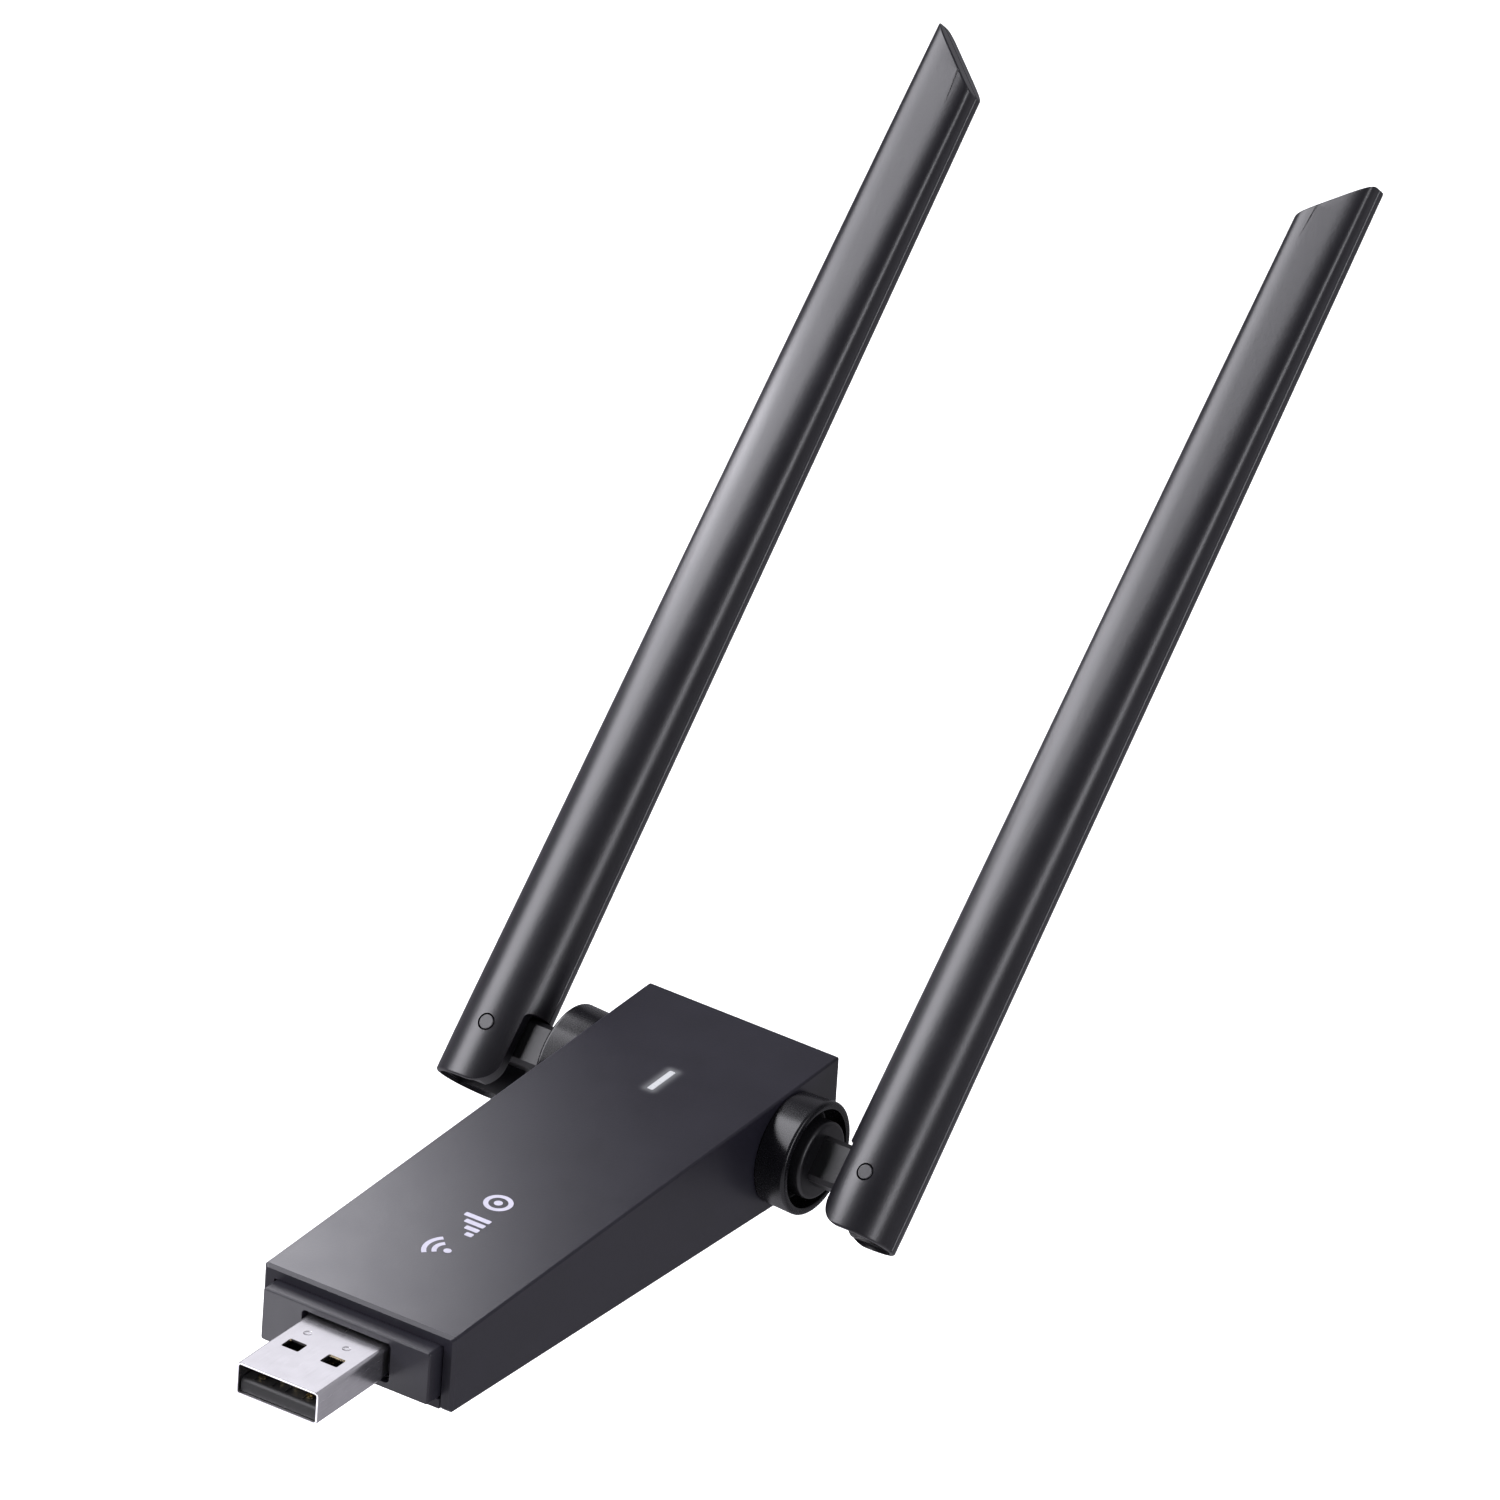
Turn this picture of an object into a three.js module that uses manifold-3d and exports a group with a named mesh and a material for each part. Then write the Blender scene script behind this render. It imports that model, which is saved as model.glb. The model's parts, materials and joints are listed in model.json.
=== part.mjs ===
// USB wifi adapter: a wedge-shaped case with a USB-A plug in front and two aerials on swivelling, folding hinges.
// Millimetres. The origin is on the plug's axis, in the face of the front bezel.
// +X is the case's right side, +Y runs from the plug to the back, +Z is up.
import * as THREE from 'three';
import { mergeVertices } from 'three/addons/utils/BufferGeometryUtils.js';
import Module from 'manifold-3d';

const wasm = await Module();
wasm.setup();

// ---------- driving dimensions ----------

const FINE = 0.15; // gap between pieces that fit closely
const EASY = 0.3; // gap round a piece that turns or is slid in
const ROUND = 32; // sides of a round piece
const PAST = 1; // how far a cutter runs past the face it cuts

const CASE = { width: 28.2, rim: 2.55, back: 84.55, rimHalf: 5.27, slope: 0.0329, wall: 1.6, floor: 1.5 };
const BEZEL = { width: 24.6, height: 7.2, depth: 4.6, mouth: [13, 5.4, 1.2], throat: [12.4, 4.9] };
const PLUG = { width: 12, height: 4.5, tip: -14.35, end: 4.4, sheet: 0.32, corner: 0.6 };
const WINDOW = { width: 2.5, length: 2.1, x: 2.85, fromTip: 7.5 };
const TONGUE = { width: 11, front: -13.9, block: -2.2, low: -1.85, top: -0.1, high: 1.85 };
const CONTACT = { places: [-3.5, -1, 1, 3.5], width: 1, sheet: 0.2, outerFront: -12.7, innerFront: -11.7 };
const BOARD = { width: 24, front: 5, back: 68, low: -1.6, top: -0.6 };
const CAN = { width: 18, front: 14, back: 38, top: 1.7, sheet: 0.2 };
const LIGHT = { y: 66.6, length: 5.05, width: 0.85, foot: 0.35, flange: 0.7, lip: 1.15 };
const SCREW = { places: { front: 10, rear: 54 }, head: 1.8, headHeight: 1, shank: 0.9, end: -3.4, post: 2.4 };
const SOCKET = { x: 8.2, y: 60 };
const LEAD = { radius: 0.565, sides: 8 };

const COLLAR = { y: 73.85, radius: 7.4, reach: 4.5, rim: 1.03, recess: 3.1, spigot: 5.6, inner: 11.6, bevel: 0.3 };
const STEM = { boss: 5, face: 19.4, shaft: 3, inner: 9.2, groove: [10.3, 10.9], grooveRadius: 2.4, bore: 1.2 };
const BLADE = { height: 5.9, thickness: 4.4, chamfer: 0.6 };
const CLIP = { radius: 4.3, hole: 2.6, gap: 1.2, low: 10.35, high: 10.85 };
const WASHER = { radius: 4.9, hole: 3.25, low: 11, high: 11.4 };

const AERIAL = {
  tilt: 47.7, pivot: 28.05, below: 7.4, above: 136.6, wall: 1.1, halfGap: 0.06, forward: 0.5,
  foot: { halfWidth: 5.47, halfDepth: 4.95, squareness: 2.05 },
  top: { halfWidth: 4.2, halfDepth: 2.35, squareness: 4.5 },
  tipAngle: 40,
};
const SLOT = { width: 5, top: 3.3, outer: 4.1, leafEdge: 3.75, corner: 1, heel: 3.4 };
const HOLLOW = { foot: 4.8, top: 126.5, passage: 0.9 };
const PIN = { radius: 1, hole: 1.25, front: 5.35, back: 4.35 };
const RADIATOR = { width: 4.4, thickness: 0.6, foot: 18, top: 114 };

// ---------- solids, cuts and joins ----------

const radians = THREE.MathUtils.degToRad;

// A closed three.js geometry as a solid that can be cut and joined.
function solid(geometry) {
  const bare = geometry.clone();
  bare.deleteAttribute('normal');
  bare.deleteAttribute('uv');
  const merged = mergeVertices(bare, 1e-4);
  const corners = merged.index.array;
  const kept = [];
  for (let i = 0; i < corners.length; i += 3) {
    const [a, b, c] = [corners[i], corners[i + 1], corners[i + 2]];
    if (a !== b && b !== c && c !== a) kept.push(a, b, c);
  }
  const mesh = { numProp: 3, vertProperties: merged.attributes.position.array, triVerts: new Uint32Array(kept) };
  return new wasm.Manifold(new wasm.Mesh(mesh));
}

// The geometry of a solid.
function geometryOf(body) {
  const { numProp, vertProperties, triVerts } = body.getMesh();
  const points = new Float32Array((vertProperties.length / numProp) * 3);
  for (let i = 0; i < points.length / 3; i++) {
    for (let k = 0; k < 3; k++) points[3 * i + k] = vertProperties[numProp * i + k];
  }
  const geometry = new THREE.BufferGeometry();
  geometry.setAttribute('position', new THREE.BufferAttribute(points, 3));
  geometry.setIndex([...triVerts]);
  return geometry;
}

// One geometry with others joined to it.
const joined = (first, ...rest) => geometryOf(rest.reduce((body, other) => body.add(solid(other)), solid(first)));

// One geometry with others cut out of it.
const cut = (first, ...rest) => geometryOf(rest.reduce((body, other) => body.subtract(solid(other)), solid(first)));

// What two geometries share.
const common = (first, second) => geometryOf(solid(first).intersect(solid(second)));

// The same geometry on the other side of the plane x = 0, with its faces still pointing out.
function mirrored(geometry) {
  const twin = geometryOf(solid(geometry)).scale(-1, 1, 1);
  const corners = twin.index.array;
  for (let i = 0; i < corners.length; i += 3) [corners[i], corners[i + 1]] = [corners[i + 1], corners[i]];
  return twin;
}

// ---------- plain shapes ----------

// A box between two corners.
function box([x0, y0, z0], [x1, y1, z1]) {
  return new THREE.BoxGeometry(x1 - x0, y1 - y0, z1 - z0).translate((x0 + x1) / 2, (y0 + y1) / 2, (z0 + z1) / 2);
}

// A box on a board or wall: its middle in x and y, its sizes, and its lowest and highest z.
const block = (x, y, width, length, low, high) =>
  box([x - width / 2, y - length / 2, low], [x + width / 2, y + length / 2, high]);

const shapeOf = (outline) => new THREE.Shape(outline.map(([u, v]) => new THREE.Vector2(u, v)));

const extruded = (shape, depth, curveSegments = 4) =>
  new THREE.ExtrudeGeometry(shape, { depth, bevelEnabled: false, curveSegments });

// A prism along X of an outline in (y, z).
function prismX(outline, x0, x1) {
  const toX = new THREE.Matrix4().makeBasis(
    new THREE.Vector3(0, 1, 0), new THREE.Vector3(0, 0, 1), new THREE.Vector3(1, 0, 0));
  return extruded(shapeOf(outline), x1 - x0).applyMatrix4(toX).translate(x0, 0, 0);
}

// A prism along Y of a shape in (x, z).
const prismY = (shape, y0, y1) => extruded(shape, y1 - y0).rotateX(Math.PI / 2).translate(0, y1, 0);

// A prism along Z of a shape in (x, y).
const prismZ = (shape, z0, z1) => extruded(shape, z1 - z0).translate(0, 0, z0);

// Cylinders along each axis.
const roundX = (radius, x0, x1, y = 0, z = 0) =>
  new THREE.CylinderGeometry(radius, radius, x1 - x0, ROUND).rotateZ(Math.PI / 2).translate((x0 + x1) / 2, y, z);
const roundY = (radius, y0, y1, x = 0, z = 0, sides = 24) =>
  new THREE.CylinderGeometry(radius, radius, y1 - y0, sides).translate(x, (y0 + y1) / 2, z);
const roundZ = (radius, z0, z1, x = 0, y = 0, sides = 24) =>
  new THREE.CylinderGeometry(radius, radius, z1 - z0, sides).rotateX(Math.PI / 2).translate(x, y, (z0 + z1) / 2);

// A turned piece about the X axis from a closed profile of (x, radius).
function turnedX(profile) {
  const points = [...profile, profile[0]].map(([x, r]) => new THREE.Vector2(r, x));
  return new THREE.LatheGeometry(points, ROUND).rotateZ(-Math.PI / 2);
}

// A rectangle about the origin with rounded corners.
function roundedRectangle(width, height, radius) {
  const [u, v] = [width / 2 - radius, height / 2 - radius];
  const shape = new THREE.Shape();
  shape.absarc(u, v, radius, 0, Math.PI / 2);
  shape.absarc(-u, v, radius, Math.PI / 2, Math.PI);
  shape.absarc(-u, -v, radius, Math.PI, 1.5 * Math.PI);
  shape.absarc(u, -v, radius, 1.5 * Math.PI, 2 * Math.PI);
  return shape;
}

// ---------- materials ----------

const finish = (color, roughness, metalness) => new THREE.MeshStandardMaterial({ color, roughness, metalness });
const FINISH = {
  case: () => finish(0x35343b, 0.48, 0),
  bezel: () => finish(0x3a3940, 0.5, 0),
  gloss: () => finish(0x18171b, 0.3, 0),
  aerial: () => finish(0x2d2c32, 0.42, 0),
  moulding: () => finish(0x111113, 0.55, 0),
  lens: () => finish(0xf4f6fa, 0.25, 0),
  lamp: () => finish(0xf2efdc, 0.35, 0),
  steel: () => finish(0xc9cacd, 0.25, 1),
  darkSteel: () => finish(0x6e7075, 0.35, 1),
  gold: () => finish(0xd9b25a, 0.25, 1),
  board: () => finish(0x14532f, 0.5, 0),
  chip: () => finish(0x161618, 0.6, 0),
  ferrite: () => finish(0x4c4a48, 0.7, 0),
  sleeve: () => finish(0x202024, 0.5, 0),
};

function named(name, geometry, material) {
  const mesh = new THREE.Mesh(geometry, FINISH[material]());
  mesh.name = name;
  return mesh;
}

// ---------- the case ----------

// Half of the case's height at a place along it: its top rises and its underside falls towards the back.
const halfHeight = (y) => CASE.rimHalf + (y - CASE.rim) * CASE.slope;
const side = CASE.width / 2;

// A wedge between two places along the case, from one height below its outer faces to another.
const wedge = (y0, y1, low, high) => [[y0, low(y0)], [y1, low(y1)], [y1, high(y1)], [y0, high(y0)]];

function upperHousing() {
  const outer = prismX(wedge(CASE.rim, CASE.back, (y) => -halfHeight(y), halfHeight), -side, side);
  const ceiling = (y) => halfHeight(y) - CASE.wall;
  const below = () => -2 * halfHeight(CASE.back);
  const room = wedge(CASE.rim - PAST, CASE.back - CASE.wall, below, ceiling);
  return cut(outer,
    prismX(room, CASE.wall - side, side - CASE.wall),
    roundX(COLLAR.spigot + EASY, -side - PAST, side + PAST, COLLAR.y),
    block(0, LIGHT.y, LIGHT.width + 2 * FINE, LIGHT.length + 2 * FINE, 0, halfHeight(CASE.back)));
}

function lowerCover() {
  const half = side - CASE.wall - FINE;
  const under = (y) => -halfHeight(y);
  const inside = (y) => CASE.floor - halfHeight(y);
  const plate = prismX(wedge(CASE.rim, CASE.back - CASE.wall - FINE, under, inside), -half, half);
  const posts = Object.values(SCREW.places).map((y) => roundZ(SCREW.post, inside(y) - 0.5, BOARD.low, 0, y));
  const holes = Object.values(SCREW.places).map((y) => roundZ(SCREW.shank + FINE, SCREW.end - FINE, 0, 0, y));
  return cut(joined(plate, ...posts), ...holes);
}

function frontBezel() {
  const [mouthWidth, mouthHeight, mouthDepth] = BEZEL.mouth;
  return cut(
    prismY(roundedRectangle(BEZEL.width, BEZEL.height, 0.4), 0, BEZEL.depth),
    prismY(roundedRectangle(mouthWidth, mouthHeight, 0.5), -PAST, mouthDepth),
    prismY(roundedRectangle(...BEZEL.throat, PLUG.corner), 0, BEZEL.depth + PAST));
}

function lightPipe() {
  const [y0, y1] = [LIGHT.y - LIGHT.length / 2, LIGHT.y + LIGHT.length / 2];
  const under = (y) => halfHeight(y) - CASE.wall - FINE;
  const bar = prismX(wedge(y0, y1, () => LIGHT.foot, halfHeight), -LIGHT.width / 2, LIGHT.width / 2);
  const lip = wedge(y0 - LIGHT.lip, y1 + LIGHT.lip, (y) => under(y) - LIGHT.flange, under);
  return joined(bar, prismX(lip, -LIGHT.width / 2 - LIGHT.lip, LIGHT.width / 2 + LIGHT.lip));
}

// ---------- the plug ----------

function usbShell() {
  const section = roundedRectangle(PLUG.width, PLUG.height, PLUG.corner);
  const [width, height] = [PLUG.width - 2 * PLUG.sheet, PLUG.height - 2 * PLUG.sheet];
  section.holes.push(roundedRectangle(width, height, PLUG.corner - PLUG.sheet));
  const y = PLUG.tip + WINDOW.fromTip;
  const windows = [-WINDOW.x, WINDOW.x].map((x) =>
    block(x, y, WINDOW.width, WINDOW.length, -PLUG.height, PLUG.height));
  return cut(prismY(section, PLUG.tip, PLUG.end), ...windows);
}

function usbInsulator() {
  const { front, block: step, low, top, high } = TONGUE;
  const outline = [[front, low], [PLUG.end, low], [PLUG.end, high], [step, high], [step, top], [front, top]];
  const slots = CONTACT.places.map((x) =>
    block(x, (step + PLUG.end) / 2, CONTACT.width + 2 * FINE, PLUG.end - step + 2 * PAST, top, top + 0.4));
  return cut(prismX(outline, -TONGUE.width / 2, TONGUE.width / 2), ...slots);
}

// A contact strip: it lies on the tongue and its tail steps down to the board.
function usbContact(x) {
  const front = Math.abs(x) > 2 ? CONTACT.outerFront : CONTACT.innerFront;
  const [low, foot] = [TONGUE.top, BOARD.top];
  const [stepStart, stepEnd, tail] = [PLUG.end + 0.4, PLUG.end + 1, PLUG.end + 3.2];
  const under = [[front, low], [stepStart, low], [stepEnd, foot], [tail, foot]];
  const over = under.map(([y, z]) => [y, z + CONTACT.sheet]).reverse();
  return prismX([...under, ...over], x - CONTACT.width / 2, x + CONTACT.width / 2);
}

// ---------- the board and what is on it ----------

function mainBoard() {
  const length = BOARD.back - BOARD.front;
  const outline = roundedRectangle(BOARD.width, length, 0.8);
  const middle = (BOARD.front + BOARD.back) / 2;
  const holes = Object.values(SCREW.places).map((y) =>
    roundZ(SCREW.shank + 0.2, BOARD.low - PAST, BOARD.top + PAST, 0, y));
  return cut(prismZ(outline, BOARD.low, BOARD.top).translate(0, middle, 0), ...holes);
}

function shieldCan() {
  const [middle, length] = [(CAN.front + CAN.back) / 2, CAN.back - CAN.front];
  const inside = block(0, middle, CAN.width - 2 * CAN.sheet, length - 2 * CAN.sheet,
    BOARD.top - PAST, CAN.top - CAN.sheet);
  return cut(block(0, middle, CAN.width, length, BOARD.top, CAN.top), inside);
}

// A screw that holds the board to a post of the lower cover, with a cross recess in its head.
function boardScrew(y) {
  const head = roundZ(SCREW.head, BOARD.top, BOARD.top + SCREW.headHeight, 0, y);
  const shank = roundZ(SCREW.shank, SCREW.end, BOARD.top + SCREW.headHeight / 2, 0, y);
  const [floor, over] = [BOARD.top + SCREW.headHeight / 2, BOARD.top + 2 * SCREW.headHeight];
  return cut(joined(head, shank), block(0, y, 2, 0.5, floor, over), block(0, y, 0.5, 2, floor, over));
}

const onBoard = (x, y, width, length, height) => block(x, y, width, length, BOARD.top, BOARD.top + height);

function aerialSocket() {
  const base = onBoard(SOCKET.x, SOCKET.y, 3, 2.8, 0.45);
  return joined(base, roundZ(0.95, BOARD.top + 0.2, BOARD.top + 1.1, SOCKET.x, SOCKET.y));
}

// The round cap that snaps on the socket, with the arm that grips the lead.
function leadPlug() {
  const [low, top] = [BOARD.top + 0.6, BOARD.top + 1.5];
  const cap = roundZ(1.5, low, top, SOCKET.x, SOCKET.y);
  const arm = block(SOCKET.x, SOCKET.y + 2.1, 1.7, 2.2, low, top);
  return cut(joined(cap, arm), roundZ(1.15, low - PAST, BOARD.top + 1.25, SOCKET.x, SOCKET.y));
}

// The lead from the plug on the board into the hollow stem.
function boardLead() {
  const route = new THREE.CatmullRomCurve3([
    [SOCKET.x, SOCKET.y + 3.4, 0.5], [8, 66, 0.6], [6.7, 69.2, 0.4], [5.7, 71.6, 0.1],
    [6.3, 73.4, 0], [8.4, COLLAR.y, 0], [13, COLLAR.y, 0],
  ].map((point) => new THREE.Vector3(...point)));
  const section = new THREE.Shape().absarc(0, 0, LEAD.radius, 0, 2 * Math.PI);
  const options = { steps: 24, extrudePath: route, curveSegments: LEAD.sides / 2, bevelEnabled: false };
  return new THREE.ExtrudeGeometry(section, options);
}

// ---------- the swivel ----------

// The fixed collar: a short barrel outside the case and a spigot through its side wall.
function collar() {
  const [face, hole] = [side + COLLAR.reach, STEM.shaft + EASY];
  const [lip, floor] = [COLLAR.radius - COLLAR.rim, face - COLLAR.recess];
  return turnedX([
    [COLLAR.inner, hole], [COLLAR.inner, COLLAR.spigot], [side, COLLAR.spigot], [side, COLLAR.radius],
    [face - COLLAR.bevel, COLLAR.radius], [face, COLLAR.radius - COLLAR.bevel], [face, lip],
    [floor, lip], [floor, hole],
  ]).translate(0, COLLAR.y, 0);
}

// The turning stem: shaft, boss and the flat blade that the aerial folds on. It is made on the X axis.
function stem() {
  const [back, bevel] = [side + COLLAR.reach - COLLAR.recess + EASY, 0.5];
  const [grooveLow, grooveHigh] = STEM.groove;
  const turned = turnedX([
    [STEM.inner, STEM.bore], [STEM.inner, STEM.shaft], [grooveLow, STEM.shaft], [grooveLow, STEM.grooveRadius],
    [grooveHigh, STEM.grooveRadius], [grooveHigh, STEM.shaft], [back, STEM.shaft], [back, STEM.boss],
    [STEM.face - bevel, STEM.boss], [STEM.face, STEM.boss - bevel], [STEM.face, STEM.bore],
  ]);
  const [h, t, c] = [BLADE.height / 2, BLADE.thickness / 2, BLADE.chamfer];
  const octagon = [[t, h - c], [t - c, h], [c - t, h], [-t, h - c], [-t, c - h], [c - t, -h], [t - c, -h], [t, c - h]];
  const bar = prismX(octagon.reverse(), STEM.face - 0.5, AERIAL.pivot + h);
  const end = new THREE.Shape();
  end.moveTo(STEM.face - PAST, -h);
  end.lineTo(AERIAL.pivot, -h);
  end.absarc(AERIAL.pivot, 0, h, -Math.PI / 2, Math.PI / 2);
  end.lineTo(STEM.face - PAST, h);
  const blade = common(bar, prismY(end, -BLADE.thickness, BLADE.thickness));
  const pinHole = roundY(PIN.hole, -BLADE.thickness, BLADE.thickness, AERIAL.pivot);
  const wireWay = roundX(STEM.bore, STEM.face - PAST, STEM.face + 2);
  return cut(joined(turned, blade), pinHole, wireWay);
}

function retainingClip() {
  const ring = cut(roundX(CLIP.radius, CLIP.low, CLIP.high), roundX(CLIP.hole, CLIP.low - PAST, CLIP.high + PAST));
  return cut(ring, box([CLIP.low - PAST, -CLIP.gap / 2, 0], [CLIP.high + PAST, CLIP.gap / 2, 2 * CLIP.radius]));
}

const frictionWasher = () =>
  turnedX([[WASHER.low, WASHER.hole], [WASHER.low, WASHER.radius], [WASHER.high, WASHER.radius], [WASHER.high, WASHER.hole]]);

// ---------- the aerial ----------
// Made upright about its pin: x points away from the case, the front faces -Y, z runs to the tip.

// A tapering bar whose section goes from near an ellipse at the foot to a rounded rectangle at the top.
function taperedBar(low, high, inset) {
  const bar = new THREE.CylinderGeometry(1, 1, high - low, ROUND, 6).rotateX(Math.PI / 2);
  const points = bar.attributes.position;
  const { foot, top } = AERIAL;
  const bulge = (part, power) => Math.sign(part) * Math.abs(part) ** (2 / power);
  for (let i = 0; i < points.count; i++) {
    const z = points.getZ(i) + (low + high) / 2;
    const t = THREE.MathUtils.clamp(z / AERIAL.above, 0, 1);
    const radius = Math.hypot(points.getX(i), points.getY(i));
    const angle = Math.atan2(points.getY(i), points.getX(i));
    const power = foot.squareness + (top.squareness - foot.squareness) * t * t;
    const halfWidth = THREE.MathUtils.lerp(foot.halfWidth, top.halfWidth, t) - inset;
    const halfDepth = THREE.MathUtils.lerp(foot.halfDepth, top.halfDepth, t) - inset;
    points.setXYZ(i,
      radius * halfWidth * bulge(Math.cos(angle), power),
      radius * halfDepth * bulge(Math.sin(angle), power) - AERIAL.forward,
      z);
  }
  return bar;
}

// What is cut from both shells: the hinge slot, the trimmed leaf edges, the round heel and the slanting tip.
function aerialCutters() {
  const reach = 2 * AERIAL.foot.halfWidth;
  const [edge, top, low] = [-SLOT.leafEdge, SLOT.top, -AERIAL.below - PAST];
  const slot = box([-reach, -SLOT.width / 2, low], [SLOT.outer, SLOT.width / 2, top]);
  const trim = new THREE.Shape();
  trim.moveTo(-reach, low);
  trim.lineTo(edge, low);
  trim.lineTo(edge, top - SLOT.corner);
  trim.absarc(edge - SLOT.corner, top - SLOT.corner, SLOT.corner, 0, Math.PI / 2);
  trim.lineTo(-reach, top);
  const [heelX, heelZ] = [edge + SLOT.heel, SLOT.heel - AERIAL.below];
  const heel = cut(
    box([-reach, -reach, low], [heelX, reach, heelZ]),
    roundY(SLOT.heel, -reach - PAST, reach + PAST, heelX, heelZ, ROUND));
  const slant = (x) => AERIAL.above - (AERIAL.top.halfWidth - x) * Math.tan(radians(AERIAL.tipAngle));
  const over = AERIAL.above + reach;
  const tip = shapeOf([[-reach, slant(-reach)], [reach, slant(reach)], [reach, over + reach], [-reach, over + reach]]);
  return [
    slot,
    prismY(trim, -reach, reach),
    heel,
    prismY(tip, -reach, reach),
    roundY(PIN.hole, -reach, reach),
    taperedBar(HOLLOW.foot, HOLLOW.top, AERIAL.wall),
    roundZ(HOLLOW.passage, SLOT.top - PAST, HOLLOW.foot + PAST),
  ];
}

// One half of the aerial's casing: -1 is the front shell and 1 the back shell.
function aerialShell(sign) {
  const reach = 2 * AERIAL.foot.halfWidth;
  const faces = [sign * AERIAL.halfGap, sign * reach].map((y) => y - AERIAL.forward).sort((a, b) => a - b);
  const half = box([-reach, faces[0], -AERIAL.below - PAST], [reach, faces[1], AERIAL.above + PAST]);
  const whole = taperedBar(-AERIAL.below, AERIAL.above, 0);
  return cut(common(whole, half), ...aerialCutters());
}

const hingePin = () => roundY(PIN.radius, -PIN.front, PIN.back);
const radiator = () =>
  block(0, -AERIAL.forward, RADIATOR.width, RADIATOR.thickness, RADIATOR.foot, RADIATOR.top);
const aerialLead = () => roundZ(LEAD.radius, SLOT.top + EASY, RADIATOR.foot - FINE, 0, 0, 12);

// ---------- the assembly ----------

const adapter = new THREE.Group();

adapter.add(
  named('upper_housing', upperHousing(), 'case'),
  named('lower_cover', lowerCover(), 'case'),
  named('front_bezel', frontBezel(), 'bezel'),
  named('light_pipe', lightPipe(), 'lens'),
  named('usb_shell', usbShell(), 'steel'),
  named('usb_insulator', usbInsulator(), 'moulding'),
  named('main_board', mainBoard(), 'board'),
  named('shield_can', shieldCan(), 'steel'),
  named('wifi_chip', onBoard(0, 26, 9, 9, 0.85), 'chip'),
  named('clock_crystal', onBoard(5.8, 33, 3.2, 2.5, 0.7), 'steel'),
  named('power_inductor', onBoard(-6.5, 44, 4, 4, 1.8), 'ferrite'),
  named('regulator_chip', onBoard(3.5, 44, 3, 3, 0.9), 'chip'),
  named('status_led', onBoard(0, LIGHT.y, 0.8, 1.6, 0.5), 'lamp'));

CONTACT.places.forEach((x, i) => adapter.add(named(`usb_contact_${i + 1}`, usbContact(x), 'gold')));
Object.entries(SCREW.places).forEach(([place, y]) => adapter.add(named(`board_screw_${place}`, boardScrew(y), 'darkSteel')));

for (const [name, placed] of [['right', (geometry) => geometry], ['left', mirrored]]) {
  adapter.add(
    named(`${name}_collar`, placed(collar()), 'gloss'),
    named(`${name}_aerial_socket`, placed(aerialSocket()), 'gold'),
    named(`${name}_lead_plug`, placed(leadPlug()), 'gold'),
    named(`${name}_board_lead`, placed(boardLead()), 'sleeve'));

  const swivel = new THREE.Group();
  swivel.position.y = COLLAR.y;
  swivel.rotation.x = radians(AERIAL.tilt - 90);
  swivel.add(
    named(`${name}_stem`, placed(stem()), 'gloss'),
    named(`${name}_retaining_clip`, placed(retainingClip()), 'darkSteel'),
    named(`${name}_friction_washer`, placed(frictionWasher()), 'steel'));

  const aerial = new THREE.Group();
  aerial.position.x = name === 'right' ? AERIAL.pivot : -AERIAL.pivot;
  aerial.add(
    named(`${name}_aerial_front`, placed(aerialShell(-1)), 'aerial'),
    named(`${name}_aerial_back`, placed(aerialShell(1)), 'aerial'),
    named(`${name}_hinge_pin`, placed(hingePin()), 'aerial'),
    named(`${name}_radiator`, placed(radiator()), 'board'),
    named(`${name}_aerial_lead`, placed(aerialLead()), 'sleeve'));
  swivel.add(aerial);
  adapter.add(swivel);
}

export default adapter;
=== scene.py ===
"""A USB wifi adapter with two folding aerials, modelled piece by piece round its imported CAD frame."""

import json
import math
from contextlib import contextmanager

import bmesh
import bpy
from bpy.props import FloatProperty, FloatVectorProperty, PointerProperty
from mathutils import Matrix, Quaternion, Vector


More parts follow.
